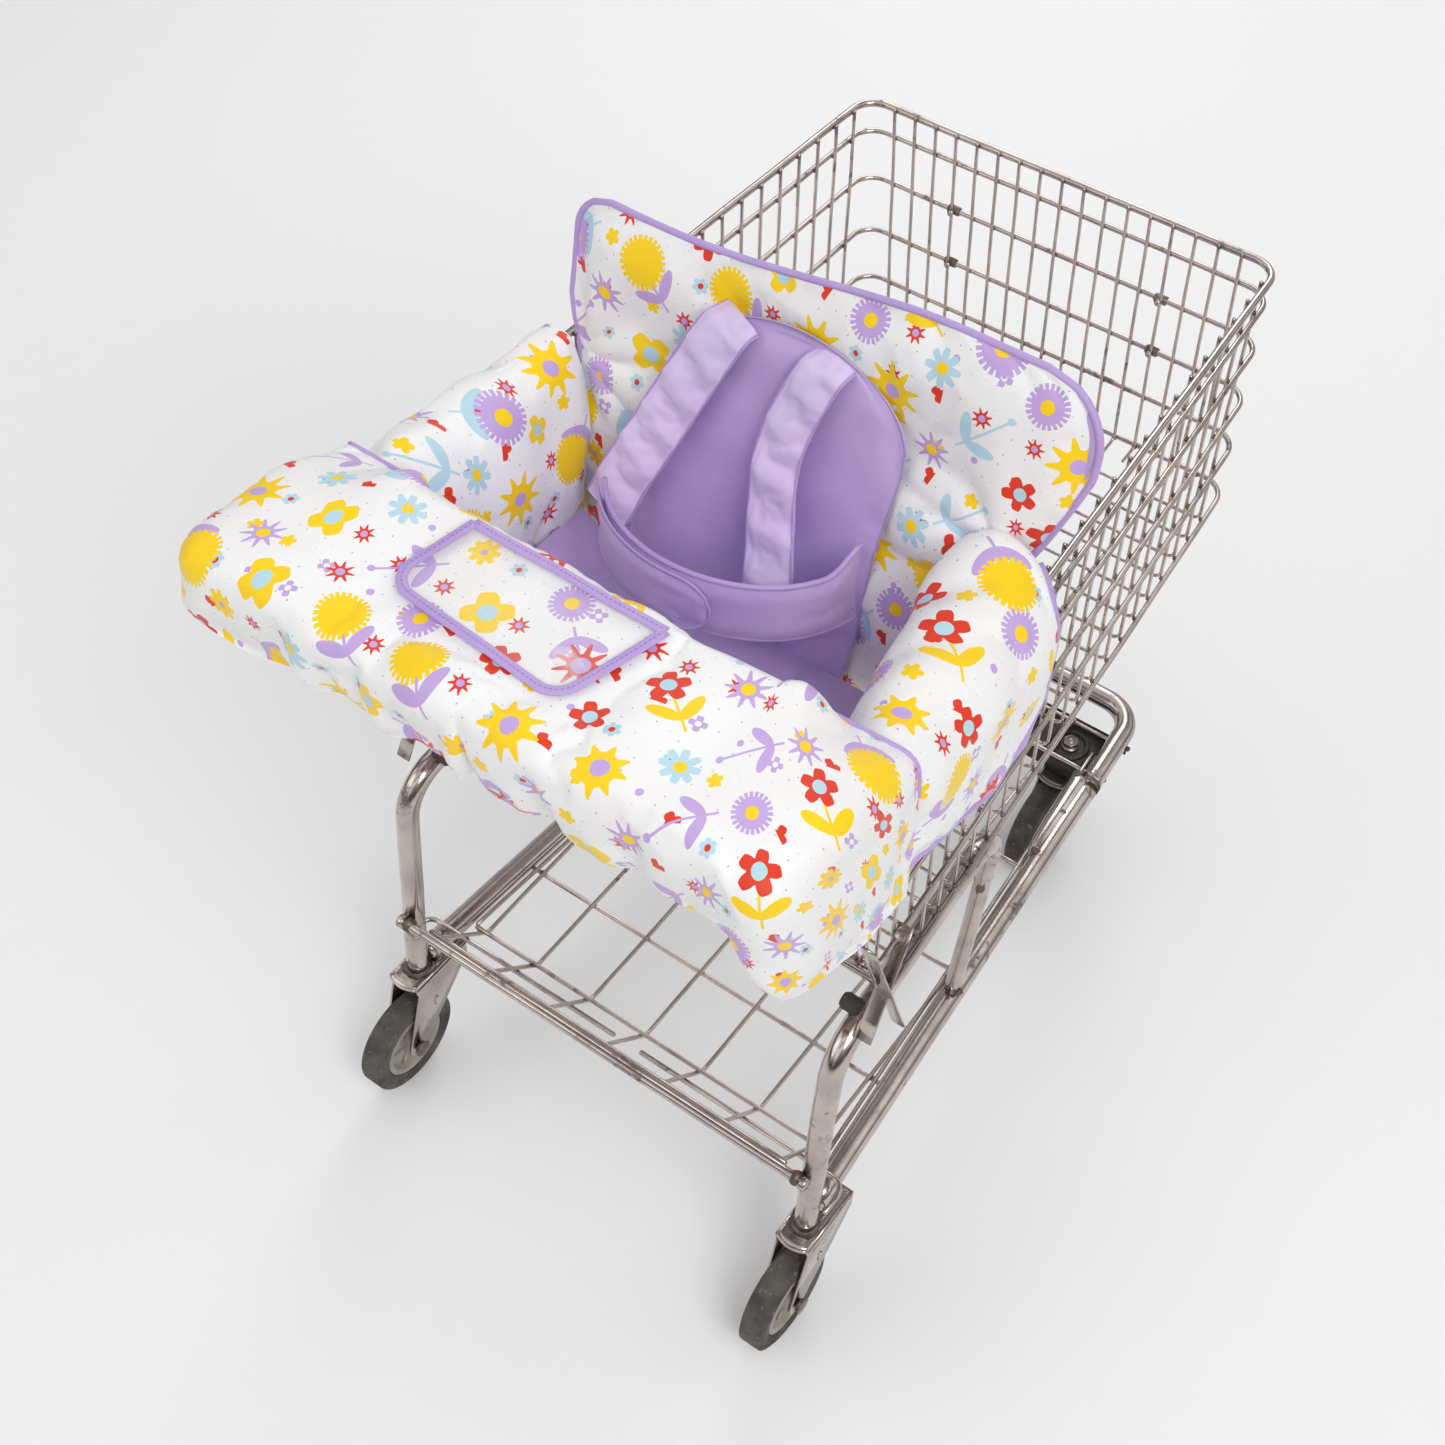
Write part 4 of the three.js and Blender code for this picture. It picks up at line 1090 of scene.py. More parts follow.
class Motifs:
    """One layer of the print: a grid of cells, each holding one rotated, jittered flower."""

    def __init__(self, pitch, shift, seed, sorts, jitter, diagonal=False):
        self.pitch, self.shift, self.seed = pitch, shift, seed
        self.sorts, self.jitter, self.diagonal = sorts, jitter, diagonal

    def paint_over(self, paint, base, uv):
        u, v, _ = paint.split(uv)
        u, v = u * (1 / self.pitch) + self.shift[0], v * (1 / self.pitch) + self.shift[1]
        cell_u, cell_v = paint.math("FLOOR", u), paint.math("FLOOR", v)
        draw = paint.node("TexWhiteNoise", noise_dimensions="3D")
        paint.connect(paint.join(cell_u, cell_v, self.seed), draw.inputs["Vector"])
        sort, random_colour = (Value(paint, draw.outputs[key]) for key in ("Value", "Color"))
        turn, jog_u, jog_v = paint.split(random_colour)
        x = (u - cell_u - 0.5) * self.pitch + (jog_u - 0.5) * self.jitter
        y = (v - cell_v - 0.5) * self.pitch + (jog_v - 0.5) * self.jitter
        if self.diagonal:
            quarter = paint.math("FLOOR", turn * 4.0)
            angle = (quarter + 0.5) * (math.pi / 2) + (jog_u - 0.5) * 0.3
        else:
            angle = turn * (2 * math.pi)
        cos, sin = paint.math("COSINE", angle), paint.math("SINE", angle)
        x, y = x * cos - y * sin, x * sin + y * cos

        def listed(key):
            return paint.choose(sort, [s[key] for s in self.sorts])

        def numbers(*keys):
            entries = [[s[key] / MAXIMA[key] for key in keys] for s in self.sorts]
            return paint.split(paint.choose(sort, entries))

        petals, depth, radius = numbers("petals", "depth", "radius")
        pointed, gain, eye = numbers("pointed", "gain", "eye")
        lift, leaves, cut = numbers("lift", "leaves", "cut")
        head_y = y - lift * MAXIMA["lift"]
        distance = paint.math("SQRT", x * x + head_y * head_y)
        around = paint.math("ARCTAN2", head_y, x) * petals * (MAXIMA["petals"] / 2)
        round_petal = paint.math("ABSOLUTE", paint.math("COSINE", around))
        sharp_petal = 1.0 - paint.math("ABSOLUTE", paint.math("SINE", around))
        wave = round_petal + (sharp_petal - round_petal) * pointed
        wave = paint.math("ADD", (wave - 0.5) * gain * MAXIMA["gain"], 0.5, clamp=True)
        edge = radius * MAXIMA["radius"] * (1.0 - depth + depth * wave)
        uncut = head_y > (0.0 - cut * MAXIMA["cut"])
        head = (distance < edge) * uncut
        eye_mask = (distance < eye * MAXIMA["eye"]) * uncut
        if any(s["leaves"] for s in self.sorts):
            # A straight stem, and a mirrored pair of leaves that lean away from it.
            side = paint.math("ABSOLUTE", x)
            along = (side - 0.0125) * 0.78 + (y + 0.0125) * 0.62
            across = (y + 0.0125) * 0.78 - (side - 0.0125) * 0.62
            leaf = along * along * (1 / 0.0165**2) + across * across * (1 / 0.0062**2) < 1.0
            stem = (side < 0.0013) * (y < lift * MAXIMA["lift"]) * (y > -0.036)
            green = paint.math("MAXIMUM", leaf, stem) * leaves
            base = paint.mix(green, base, listed("leaf_tone"))
        base = paint.mix(head, base, listed("tone"))
        return paint.mix(eye_mask, base, listed("eye_tone"))


MAXIMA = {"petals": 32, "depth": 1, "radius": 0.05, "pointed": 1, "gain": 12, "eye": 0.03, "lift": 0.05,
          "leaves": 1, "cut": 0.1}


def flower(petals, depth, radius, tone, eye, eye_tone, **more):
    """One sort of motif. Lengths are in metres; gain squares the petals off into a fringe."""
    sort = dict(petals=petals, depth=depth, radius=radius, tone=tone, eye=eye, eye_tone=eye_tone)
    sort |= dict(pointed=0, gain=1.4, lift=0.0, cut=0.1, leaf_tone=tone, leaves=int("leaf_tone" in more))
    return sort | more


LARGE = (
    flower(26, 0.17, 0.026, YELLOW, 0.0, YELLOW, gain=9, lift=0.017, leaf_tone=LILAC),
    flower(5, 0.42, 0.020, RED, 0.0075, BLUE, lift=0.019, leaf_tone=YELLOW),
    flower(9, 0.42, 0.030, YELLOW, 0.008, LILAC, pointed=1),
    flower(24, 0.22, 0.027, LILAC, 0.009, YELLOW, gain=9, lift=0.014, leaf_tone=BLUE),
    flower(4, 0.36, 0.025, YELLOW, 0.0095, BLUE),
    flower(26, 0.15, 0.028, YELLOW, 0.0, YELLOW, gain=9, lift=0.014, leaf_tone=LILAC),
    flower(9, 0.5, 0.026, RED, 0.009, LILAC, pointed=1, lift=0.010, leaf_tone=LILAC),
    flower(1, 0.0, 0.004, BLUE, 0.0, BLUE, lift=0.034, leaf_tone=BLUE),
    flower(1, 0.0, 0.004, LILAC, 0.0, LILAC, lift=0.034, leaf_tone=LILAC),
    flower(8, 0.34, 0.024, YELLOW, 0.008, LILAC, pointed=1),
)
MEDIUM = (
    flower(9, 0.52, 0.0215, LILAC, 0.0065, YELLOW, pointed=1),
    flower(4, 0.36, 0.0165, YELLOW, 0.0068, BLUE),
    flower(8, 0.5, 0.014, RED, 0.0045, LILAC, pointed=1),
    flower(5, 0.42, 0.0185, RED, 0.0072, BLUE),
    flower(8, 0.45, 0.019, BLUE, 0.006, YELLOW),
    flower(8, 0.34, 0.0155, YELLOW, 0.0035, LILAC),
    flower(22, 0.25, 0.0215, LILAC, 0.007, YELLOW, gain=9),
)
SMALL = (
    flower(5, 0.35, 0.0085, YELLOW, 0.0, YELLOW),
    flower(3, 0.45, 0.0095, RED, 0.0, RED, cut=0.002),
    flower(6, 0.3, 0.0085, BLUE, 0.003, RED),
    flower(1, 0.0, 0.0038, LILAC, 0.0, LILAC),
    flower(8, 0.45, 0.0105, RED, 0.0035, LILAC, pointed=1),
    flower(4, 0.5, 0.0085, LILAC, 0.003, WHITE),
)
TINY = (
    flower(1, 0.0, 0.0009, LILAC, 0.0, LILAC),
    flower(1, 0.0, 0.0007, BLUE, 0.0, BLUE),
)


PRINT_SCALE = 1.12
PRINT_PITCH = 0.096


def print_fabric():
    """White satin printed with scattered flowers, suns, sprigs and dots."""
    paint = Paint("print_fabric")
    uv = paint.made("UVMap", (), uv_map="cloth")
    cloud = paint.span(paint.noise(paint.place(), 8, 2), 0.35, 0.65)
    base = paint.mix(cloud, WHITE, colour("#EFEDEC"))
    uv = paint.scaled(uv, PRINT_SCALE, PRINT_SCALE, 1.0)
    for layer in (
        Motifs(0.019, (0.3, 0.2), 4.0, TINY, 0.014),
        Motifs(PRINT_PITCH / 2, (0.5, 0.25), 3.0, SMALL, 0.012),
        Motifs(PRINT_PITCH, (0.5, 0.5), 2.0, MEDIUM, 0.014),
        Motifs(PRINT_PITCH, (0.0, 0.0), 1.0, LARGE, 0.012, diagonal=True),
    ):
        base = layer.paint_over(paint, base, uv)
    fabric_finish(paint, base, uv, roughness=0.36, wrinkle=0.8, sheen=0.1)
    return paint.look()


def clear_vinyl():
    """Thin clear film with wavy highlights from its bumped surface, and painted highlight streaks where the
    film is whiter and less clear.
    """
    paint = Paint("clear_vinyl")
    wave = paint.noise(paint.scaled(paint.place(), 1.0, 0.6, 1.0), 26, 2, 0.4)
    # Painted highlight: noise streaks where the film's colour is painted whiter and its alpha raised,
    # standing in for reflected light.
    painted_glint = paint.span(wave, 0.60, 0.66)
    paint.set(Base_Color=paint.mix(painted_glint, colour("#FBFCFD"), colour("#FFFFFF")), Roughness=0.06)
    paint.set(Alpha=paint.span(painted_glint, 0.0, 1.0, 0.05, 0.22), Specular_IOR_Level=1.0, Coat_Weight=1.0)
    paint.bump(wave, 0.9, 0.006)
    return paint.look()


PRINT = print_fabric()
LAVENDER = cloth("lavender_fabric", "#C2ACDD", "#BAA2D7")
PALE = cloth("pale_lavender_fabric", "#DBC9EC", "#D3BFE8")
# Piping and thread are sewn to the lavender fabric and share its slot.
PIPING = LAVENDER[:1] + cloth("piping_fabric", "#B298D2", "#B9A0D8", 0.25)[1:]
THREAD = LAVENDER[:1] + cloth("stitch_thread", "#8E72BD", "#9A80C6", 0.1)[1:]
VINYL = clear_vinyl()


# ---- Padded cloth ----
CLOTH_FRAMES = 20
STITCH_PITCH = 4.6
STITCH_SIZE = (0.5, 0.5, 1.5)


def steps_in(count):
    """How many steps each of a row of points lies from the nearer end."""
    return np.minimum(np.arange(count), np.arange(count)[::-1])


def border_steps(rows, columns):
    """How many steps each point of a grid lies from its border."""
    return np.minimum(steps_in(rows)[:, None], steps_in(columns)[None, :])


def sheet_of(along, across, point):
    """Grids of points and of cloth coordinates, from point(a, b) giving both in millimetres."""
    cells = [[point(a, b) for b in across] for a in along]
    grid, uv = (np.array([[cell[k] for cell in row] for row in cells], float) for k in (0, 1))
    return grid, uv / MM


def normals_of(grid):
    normal = np.cross(np.gradient(grid, axis=0), np.gradient(grid, axis=1))
    return normal / np.maximum(np.linalg.norm(normal, axis=2, keepdims=True), 1e-9)


class Pad:
    """A closed quilted sheet: a grid of points, thickened both ways, with the cloth's own UVs in metres."""

    made = []  # every pad, in order
    waiting = []  # pads whose cloth simulation has not run yet

    def __init__(self, name, grid, half, uv, look, body, *replaced, keep=None, back_slot=0, bend=None):
        rows, columns = grid.shape[:2]
        half = np.broadcast_to(half, (rows, columns))[..., None]
        thick = normals_of(grid) * half
        keep = np.ones((rows - 1, columns - 1), bool) if keep is None else keep
        self.count = rows * columns
        index = np.arange(self.count).reshape(rows, columns)
        faces, slots = [], []
        for i, j in zip(*np.nonzero(keep)):
            quad = [int(index[corner]) for corner in ((i, j), (i + 1, j), (i + 1, j + 1), (i, j + 1))]
            faces += [quad, [q + self.count for q in reversed(quad)]]
            slots += [0, back_slot]
            borders = ((i - 1, j, 0, 3), (i + 1, j, 2, 1), (i, j - 1, 1, 0), (i, j + 1, 3, 2))
            for row, column, a, b in borders:
                inside = 0 <= row < rows - 1 and 0 <= column < columns - 1
                if not (inside and keep[row, column]):
                    faces.append((quad[b], quad[a], quad[a] + self.count, quad[b] + self.count))
                    slots.append(0)
        used = sorted({q for face in faces for q in face})
        self.renumber = {old: new for new, old in enumerate(used)}
        shape = Shape()
        points = np.vstack([(grid + thick).reshape(-1, 3), (grid - thick).reshape(-1, 3)])
        shape.add(points[used], [tuple(self.renumber[q] for q in face) for face in faces])
        shape.slots = slots
        flat = np.vstack([np.asarray(uv, float).reshape(-1, 2)] * 2)[used]
        self.thing = shape.build(name, look[1:], flat)
        self.settling = (look[0], body, replaced, bend)
        # The simulation holds the outline still: the points where kept and left-out cells meet.
        padded = np.pad(keep, 1).astype(int)
        around = padded[:-1, :-1] + padded[1:, :-1] + padded[:-1, 1:] + padded[1:, 1:]
        self.edge = []
        self.hold((around > 0) & (around < 4))
        Pad.made.append(self)

    def hold(self, mask):
        """Vertices to hold still, such as a sewn channel, given as a mask over the grid."""
        for v in np.nonzero(np.asarray(mask).ravel())[0]:
            sides = (int(v), int(v) + self.count)
            self.edge += [self.renumber[side] for side in sides if side in self.renumber]
        return self

    def inflate(self, pressure, cap, extra):
        """Queues a cloth simulation: pressure from inside, and a little more cloth than the frame needs."""
        Pad.waiting.append((self.thing, sorted(set(self.edge)), pressure, cap / MM, extra))

    def finish(self):
        smooth = self.thing.modifiers.new("smooth", "SUBSURF")
        smooth.levels = smooth.render_levels = 1
        settle(self.thing, *self.settling)


def coordinates(mesh):
    return np.array([v.co for v in mesh.vertices])


def run_cloth():
    """Runs every queued simulation together, then keeps the capped result."""
    for thing, sewn, pressure, _, extra in Pad.waiting:
        thing.vertex_groups.new(name="sewn").add(sewn, 1.0, "REPLACE")
        modifier = thing.modifiers.new("cloth", "CLOTH")
        modifier.point_cache.frame_end = CLOTH_FRAMES
        settings = modifier.settings
        settings.vertex_group_mass = "sewn"
        settings.quality = 6
        settings.mass = 0.25
        settings.use_pressure = True
        settings.uniform_pressure_force = pressure
        settings.tension_stiffness = settings.compression_stiffness = 18
        settings.shear_stiffness = 6
        settings.bending_stiffness = 0.4
        settings.shrink_min = settings.shrink_max = -extra
        settings.effector_weights.gravity = 0
    scene = bpy.context.scene
    for number in range(1, CLOTH_FRAMES + 1):
        scene.frame_set(number)
    graph = bpy.context.evaluated_depsgraph_get()
    blown = [coordinates(thing.evaluated_get(graph).data) for thing, *_ in Pad.waiting]
    for (thing, _, _, cap, _), points in zip(Pad.waiting, blown):
        rest = coordinates(thing.data)
        move = points - rest
        length = np.linalg.norm(move, axis=1, keepdims=True)
        move *= cap * np.tanh(length / cap) / np.maximum(length, 1e-9)
        thing.modifiers.remove(thing.modifiers["cloth"])
        thing.data.vertices.foreach_set("co", (rest + move).astype(np.float32).ravel())
        thing.data.update()
    scene.frame_set(1)


def wobble(grid, amount, length, seed, masks=1.0):
    """Broad soft folds: moves a grid along its normals by a smooth random field."""
    rng = np.random.default_rng(seed)
    lift = np.zeros(grid.shape[:2])
    for _ in range(7):
        direction = rng.normal(size=3)
        direction *= 2 * math.pi / (length * rng.uniform(0.7, 1.6)) / np.linalg.norm(direction)
        lift += np.sin(grid @ direction + rng.uniform(0, 6.28)) / 7**0.5
    return grid + normals_of(grid) * (lift * masks * amount)[..., None]


def rail(name, path, radius, body="child_seat_back", bend=None, flat=1.0, sides=10):
    """A piece of piping along a seam."""
    shape = Shape()
    tube(shape, path, radius, sides, flat=flat)
    settle(shape.build(name, PIPING[1:]), PIPING[0], body, bend=bend)


def stitch_line(shape, line, hint=(0, 0, 1), lift=2.6):
    """A row of stitches along a line, each a small raised bead on the side that hint points to."""
    line, hint = np.array(line, float), np.array(hint, float)
    travel = travel_along(line)
    where = np.arange(STITCH_PITCH, travel[-1] - STITCH_PITCH, STITCH_PITCH)
    for point, ahead in zip(at_travel(line, travel, where), at_travel(line, travel, where + 1)):
        along = unit(ahead - point)
        out = unit(hint - along * (hint @ along))
        blob(shape, point + out * lift, STITCH_SIZE, along=along, rings=4, sides=6)


# ---- The cover's drape over the handle ----
SKIRT_X = -112.0
SKIRT_Y = 300.0
SKIRT_CORNER = 34.0
DRAPE_TOP = 947.0
DRAPE_INNER_X = 70.0
WELL_X = 72.0
DRAPE_FAN = 0.6  # share of the half-width that runs straight back; the rest fans out round the corner
# Height of the hem at points round the fan, in degrees: across the back, round the corner, along the side.
HEM_AT = (0, 14, 20, 23, 26, 30, 36, 42, 50, 60, 70, 80, 90)
HEM_RIGHT = (864, 872, 870, 848, 814, 790, 756, 734, 722, 718, 724, 731, 736)
HEM_LEFT = (862, 856, 868, 878, 882, 876, 842, 796, 764, 750, 745, 742, 742)
# How far the fold over the handle sinks below the top, by distance from the cart's middle.
FOLD_AT = (-292, -252, -186, 0, 57, 86, 136, 191, 249, 289)
FOLD_DROP = (3, 2, 0, 0, 2, 5, 6, 3, 0, 2)


def skirt_gap(point):
    """Signed distance from the drape's skirt, a rounded rectangle open towards the nose."""
    dx = (SKIRT_X + SKIRT_CORNER) - point[0]
    dy = abs(point[1]) - (SKIRT_Y - SKIRT_CORNER)
    outside = math.hypot(max(dx, 0), max(dy, 0))
    return outside + min(max(dx, dy), 0) - SKIRT_CORNER


def reach_skirt(start, direction):
    """Distance from start to the skirt in a direction, by halving."""
    low, high = 0.0, 600.0
    for _ in range(30):
        middle = (low + high) / 2
        if skirt_gap(start + direction * middle) < 0:
            low = middle
        else:
            high = middle
    return (low + high) / 2


def drape_line(u, count):
    """One line of the drape, from its inner seam over the handle and down to the hem."""
    sign = 1.0 if u >= 0 else -1.0
    share = abs(u)
    fan = max(0.0, share - DRAPE_FAN) / (1 - DRAPE_FAN)
    turn = 0.5 * float(step_smooth(fan)) + 0.5 * fan
    angle = turn * math.pi / 2
    start = np.array([DRAPE_INNER_X + 17 * turn, sign * (min(share / DRAPE_FAN, 1) * 186 + 18 * turn)])
    direction = np.array([-math.cos(angle), sign * math.sin(angle)])
    reach = reach_skirt(start, direction)
    fold_y = start[1] + direction[1] * reach
    slope = 30 if sign > 0 else 34
    top = DRAPE_TOP - slope * step_smooth((turn - 0.3) / 0.7) ** 1.3
    fold = top - np.interp(fold_y, FOLD_AT, FOLD_DROP) * (1 - turn)
    hem = np.interp(math.degrees(angle), HEM_AT, HEM_LEFT if sign > 0 else HEM_RIGHT)
    corner = math.exp(-(((math.degrees(angle) - 28) / 14) ** 2))
    tuck = 12 * (1 - turn) + (8 if sign < 0 else -22) * corner
    inner = top - 46 + 6 * turn
    profile = bent([(0, inner, 0), (2, top - 3, 0), (reach - 1, fold, 0), (reach - tuck, hem, 0)], 15)
    profile = np.array(dense(profile, 5.0))
    travel = travel_along(profile)
    even = np.linspace(0, travel[-1], count)
    distance, height, _ = at_travel(profile, travel, even).T
    below = np.clip((fold - 8 - height) / 50, 0, 1) * (distance > reach * 0.6)
    # Soft pleats in the hanging part, which grow towards the hem.
    pleat = math.sin(share * 23 + 1.7 * sign) * 5.5 * (1 - 0.5 * turn) + math.sin(share * 47 + 2 * sign) * 2.2
    distance = distance + below * pleat
    sag = -4.0 * np.sin(np.pi * np.clip(distance / reach, 0, 1)) * (1 - turn)
    flat = start + np.outer(distance, direction)
    return np.column_stack([flat, height + sag]), (start + np.outer(even, direction)) / MM


def drape():
    """The printed sheet that covers the handle, held flat where the pocket lies."""
    rows, columns = 132, 52
    lines = [drape_line(u, columns) for u in np.linspace(1, -1, rows)]
    grid, uv = (np.array([line[k] for line in lines]) for k in (0, 1))
    near = border_steps(rows, columns)
    x, y, z = np.moveaxis(grid, 2, 0)
    under_pocket = (np.abs(x) < 62) & (np.abs(y - 25) < 118) & (z > DRAPE_TOP - 9)
    grid = wobble(grid, 2.2, 85, 11, step_smooth(near / 8.0) * np.where(under_pocket, 0.15, 1.0))
    half = 1.4 + 3.2 * step_smooth(near / 3.0)
    pad = Pad("cover_drape_cloth", grid, half, uv, PRINT, "root", "cover_drape")
    pad.hold(under_pocket).inflate(4.0, 6.0, 0.035)
    for row, side_name, until in ((0, "left", 0.42), (-1, "right", 0.56)):
        seam = grid[row, 3 : int(columns * until)] + np.array([1.0, 0, 0.4])
        rail(f"cover_drape_seam_{side_name}", seam, 3.2, "root", flat=0.8)


def pocket():
    """A clear flat pocket with a bound edge, lying on top of the drape."""
    inner_left, inner_right = np.array([53, 113]), np.array([50, -85])
    outer_left, outer_right = np.array([-35, 131]), np.array([-53, -57])

    def resting(x, y, lift=0.0):
        sag = 3.4 * math.sin(math.pi * min(max((70 - x) / 180, 0), 1))
        return (x, y, DRAPE_TOP + 5.5 - sag + 0.5 * math.sin(y / 17) + lift)

    def point(s, t):
        inner = inner_left * (1 - s) + inner_right * s
        outer = outer_left * (1 - s) + outer_right * s
        x, y = inner * (1 - t) + outer * t
        return resting(x, y, 2.2 * math.sin(math.pi * s) * math.sin(math.pi * t)), (x, y)

    grid, _ = sheet_of(np.linspace(0, 1, 40), np.linspace(0, 1, 22), point)
    grid = wobble(grid, 0.7, 60, 5)
    Pad("cover_pocket_film", grid, 0.35, grid[..., :2] / MM, VINYL, "root", "cover_pocket")
    rear = bent([(*corner, 0.0) for corner in (inner_left, outer_left, outer_right, inner_right)], 24, 8)
    front = [(*inner_left, 0.0), (*inner_right, 0.0)]
    for part, line in (("rear", rear), ("front", front)):
        path = np.array([resting(x, y, 1.0) for x, y, _ in dense(line, 7)])
        rail(f"cover_pocket_binding_{part}", path, 5.0, "root", flat=0.3, sides=14)
        stitches = Shape()
        stitch_line(stitches, path, lift=1.6)
        piece(stitches, f"cover_pocket_stitches_{part}", THREAD)


# ---- The padded back ----
# Side edges of the padded back and of its plain centre panel: (height above the seat, distance to the left).
BACK_LEFT = ((0, 222), (230, 244), (290, 257), (393, 258))
BACK_RIGHT = ((0, -222), (200, -234), (238, -243), (274, -257), (314, -271), (345, -281), (426, -281))
PANEL_LEFT = ((0, 160), (132, 158), (163, 148), (212, 130), (276, 106), (330, 84), (354, 62))
PANEL_RIGHT = ((0, -96), (84, -104), (181, -106), (241, -114), (275, -118), (300, -117), (320, -108),
               (340, -88), (354, -58))


def profile_of(value, table):
    """Reads a value from a few (place, value) pairs, with straight lines between them."""
    places, values = zip(*table)
    return np.interp(value, places, values)


def panel_grid(rows, columns):
    """A grid over the padded back: (y, up), taller on the right, with rounded upper corners."""
    grid = np.zeros((rows, columns, 2))
    for i, v in enumerate(np.linspace(0, 1, rows)):
        ends = []
        for table, top, corner in ((BACK_LEFT, 393, 36), (BACK_RIGHT, 426, 62)):
            up = v * top
            y = profile_of(up, table)
            over = max(0.0, up - (top - corner)) / corner
            y -= math.copysign(corner * (1 - math.sqrt(max(0.0, 1 - over * over))), y)
            ends.append((y, up))
        (y0, up0), (y1, up1) = ends
        for j, u in enumerate(np.linspace(0, 1, columns)):
            grid[i, j] = (y0 + (y1 - y0) * u, up0 + (up1 - up0) * step_smooth((u - 0.15) / 0.7))
    return grid


def dish_at(y, up):
    """The middle of the back is pressed in a little, as if by the child."""
    return 7 * np.exp(-((y / 110) ** 2)) * np.exp(-(((up - 170) / 150) ** 2))


def pinch_folds(y, up, pinch_y, pinch_up):
    """Soft folds that fan out from where a bolster pinches the padded back."""
    dy, du = y - pinch_y, up - pinch_up
    distance, angle = np.hypot(dy, du), np.arctan2(du, dy)
    return 4.0 * np.sin(9 * angle) * np.exp(-distance / 95) * step_smooth(distance / 30)


def back_panel():
    """The padded back: printed in front, plain behind, with piping round its free edges."""
    rows, columns = 62, 76
    flat = panel_grid(rows, columns)[:, ::-1]
    y, up = flat[..., 0], flat[..., 1]
    behind = 9 + dish_at(y, up) + pinch_folds(y, up, -228, 238) + pinch_folds(y, up, 238, 235)
    cells = ((i, j) for i in range(rows) for j in range(columns))
    grid = np.array([on_seat(y[c], up[c], behind[c]) for c in cells]).reshape(rows, columns, 3)
    near = border_steps(rows, columns)
    grid = wobble(grid, 3.0, 120, 21, step_smooth(near / 9.0))
    half = 1.6 + 7.5 * step_smooth(near / 6.0)
    uv = flat / MM + [0.31, 0.12]
    look = PRINT + LAVENDER[1:]
    pad = Pad("cover_back_panel", grid, half, uv, look, "child_seat_back", "cover_back", back_slot=1)
    under_panel = (y < profile_of(up, PANEL_LEFT)) & (y > profile_of(up, PANEL_RIGHT)) & (up < 366)
    pad.hold(under_panel).inflate(4.0, 8.0, 0.03)
    ring = list(grid[:, 0]) + list(grid[-1, 1:]) + list(grid[-2::-1, -1])
    rail("cover_back_piping", ring, 3.4, sides=12)


def centre_panel():
    """The plain panel sewn to the front of the padded back, under the straps."""

    def point(up, s):
        left, right = profile_of(up, PANEL_LEFT), profile_of(up, PANEL_RIGHT)
        y = (left + right) / 2 - s * (left - right) / 2
        rise = up + 12 * (1 - s * s) * max(0.0, (up - 300) / 54)
        return on_seat(y, rise, dish_at(y, up) - 6.0), (y, up)

    rows, columns = 48, 34
    grid, uv = sheet_of(np.linspace(-20, 354, rows), np.linspace(-1, 1, columns), point)
    near = border_steps(rows, columns)
    grid = wobble(grid, 2.6, 110, 31, step_smooth(near / 6.0))
    half = 1.2 + 2.6 * step_smooth(near / 4.0)
    Pad("cover_centre_panel", grid, half, uv, LAVENDER, "child_seat_back").inflate(3.0, 5.0, 0.03)


# ---- Straps and belt ----
# Each strap's middle line on the padded back: (y, up, how far it stands in front).
STRAPS = {
    "left": ((63, 352, 4), (69, 345, 16), (77, 330, 22), (100, 276, 27), (126, 212, 32), (146, 163, 38),
             (160, 118, 46)),
    "right": ((-37, 355, 4), (-33, 349, 16), (-27, 336, 22), (-13, 291, 27), (-7, 244, 32), (-14, 190, 38),
              (-27, 134, 50), (-32, 90, 62)),
}
STRAP_WIDTHS = {"left": (50, 54), "right": (44, 52)}


def spline(points, count):
    """A smooth line through points, evenly spaced (Catmull-Rom)."""
    points = np.array(points, float)
    padded = np.vstack([2 * points[0] - points[1], points, 2 * points[-1] - points[-2]])
    path = []
    for a, b, c, d in zip(padded, padded[1:], padded[2:], padded[3:]):
        square, cube = 2 * a - 5 * b + 4 * c - d, 3 * b - a - 3 * c + d
        for t in np.linspace(0, 1, 12, endpoint=False):
            path.append(0.5 * (2 * b + (c - a) * t + square * t**2 + cube * t**3))
    path = np.array(path + [points[-1]])
    travel = travel_along(path)
    return at_travel(path, travel, np.linspace(0, travel[-1], count))


def unit_rows(vectors):
    return vectors / np.linalg.norm(vectors, axis=1, keepdims=True)


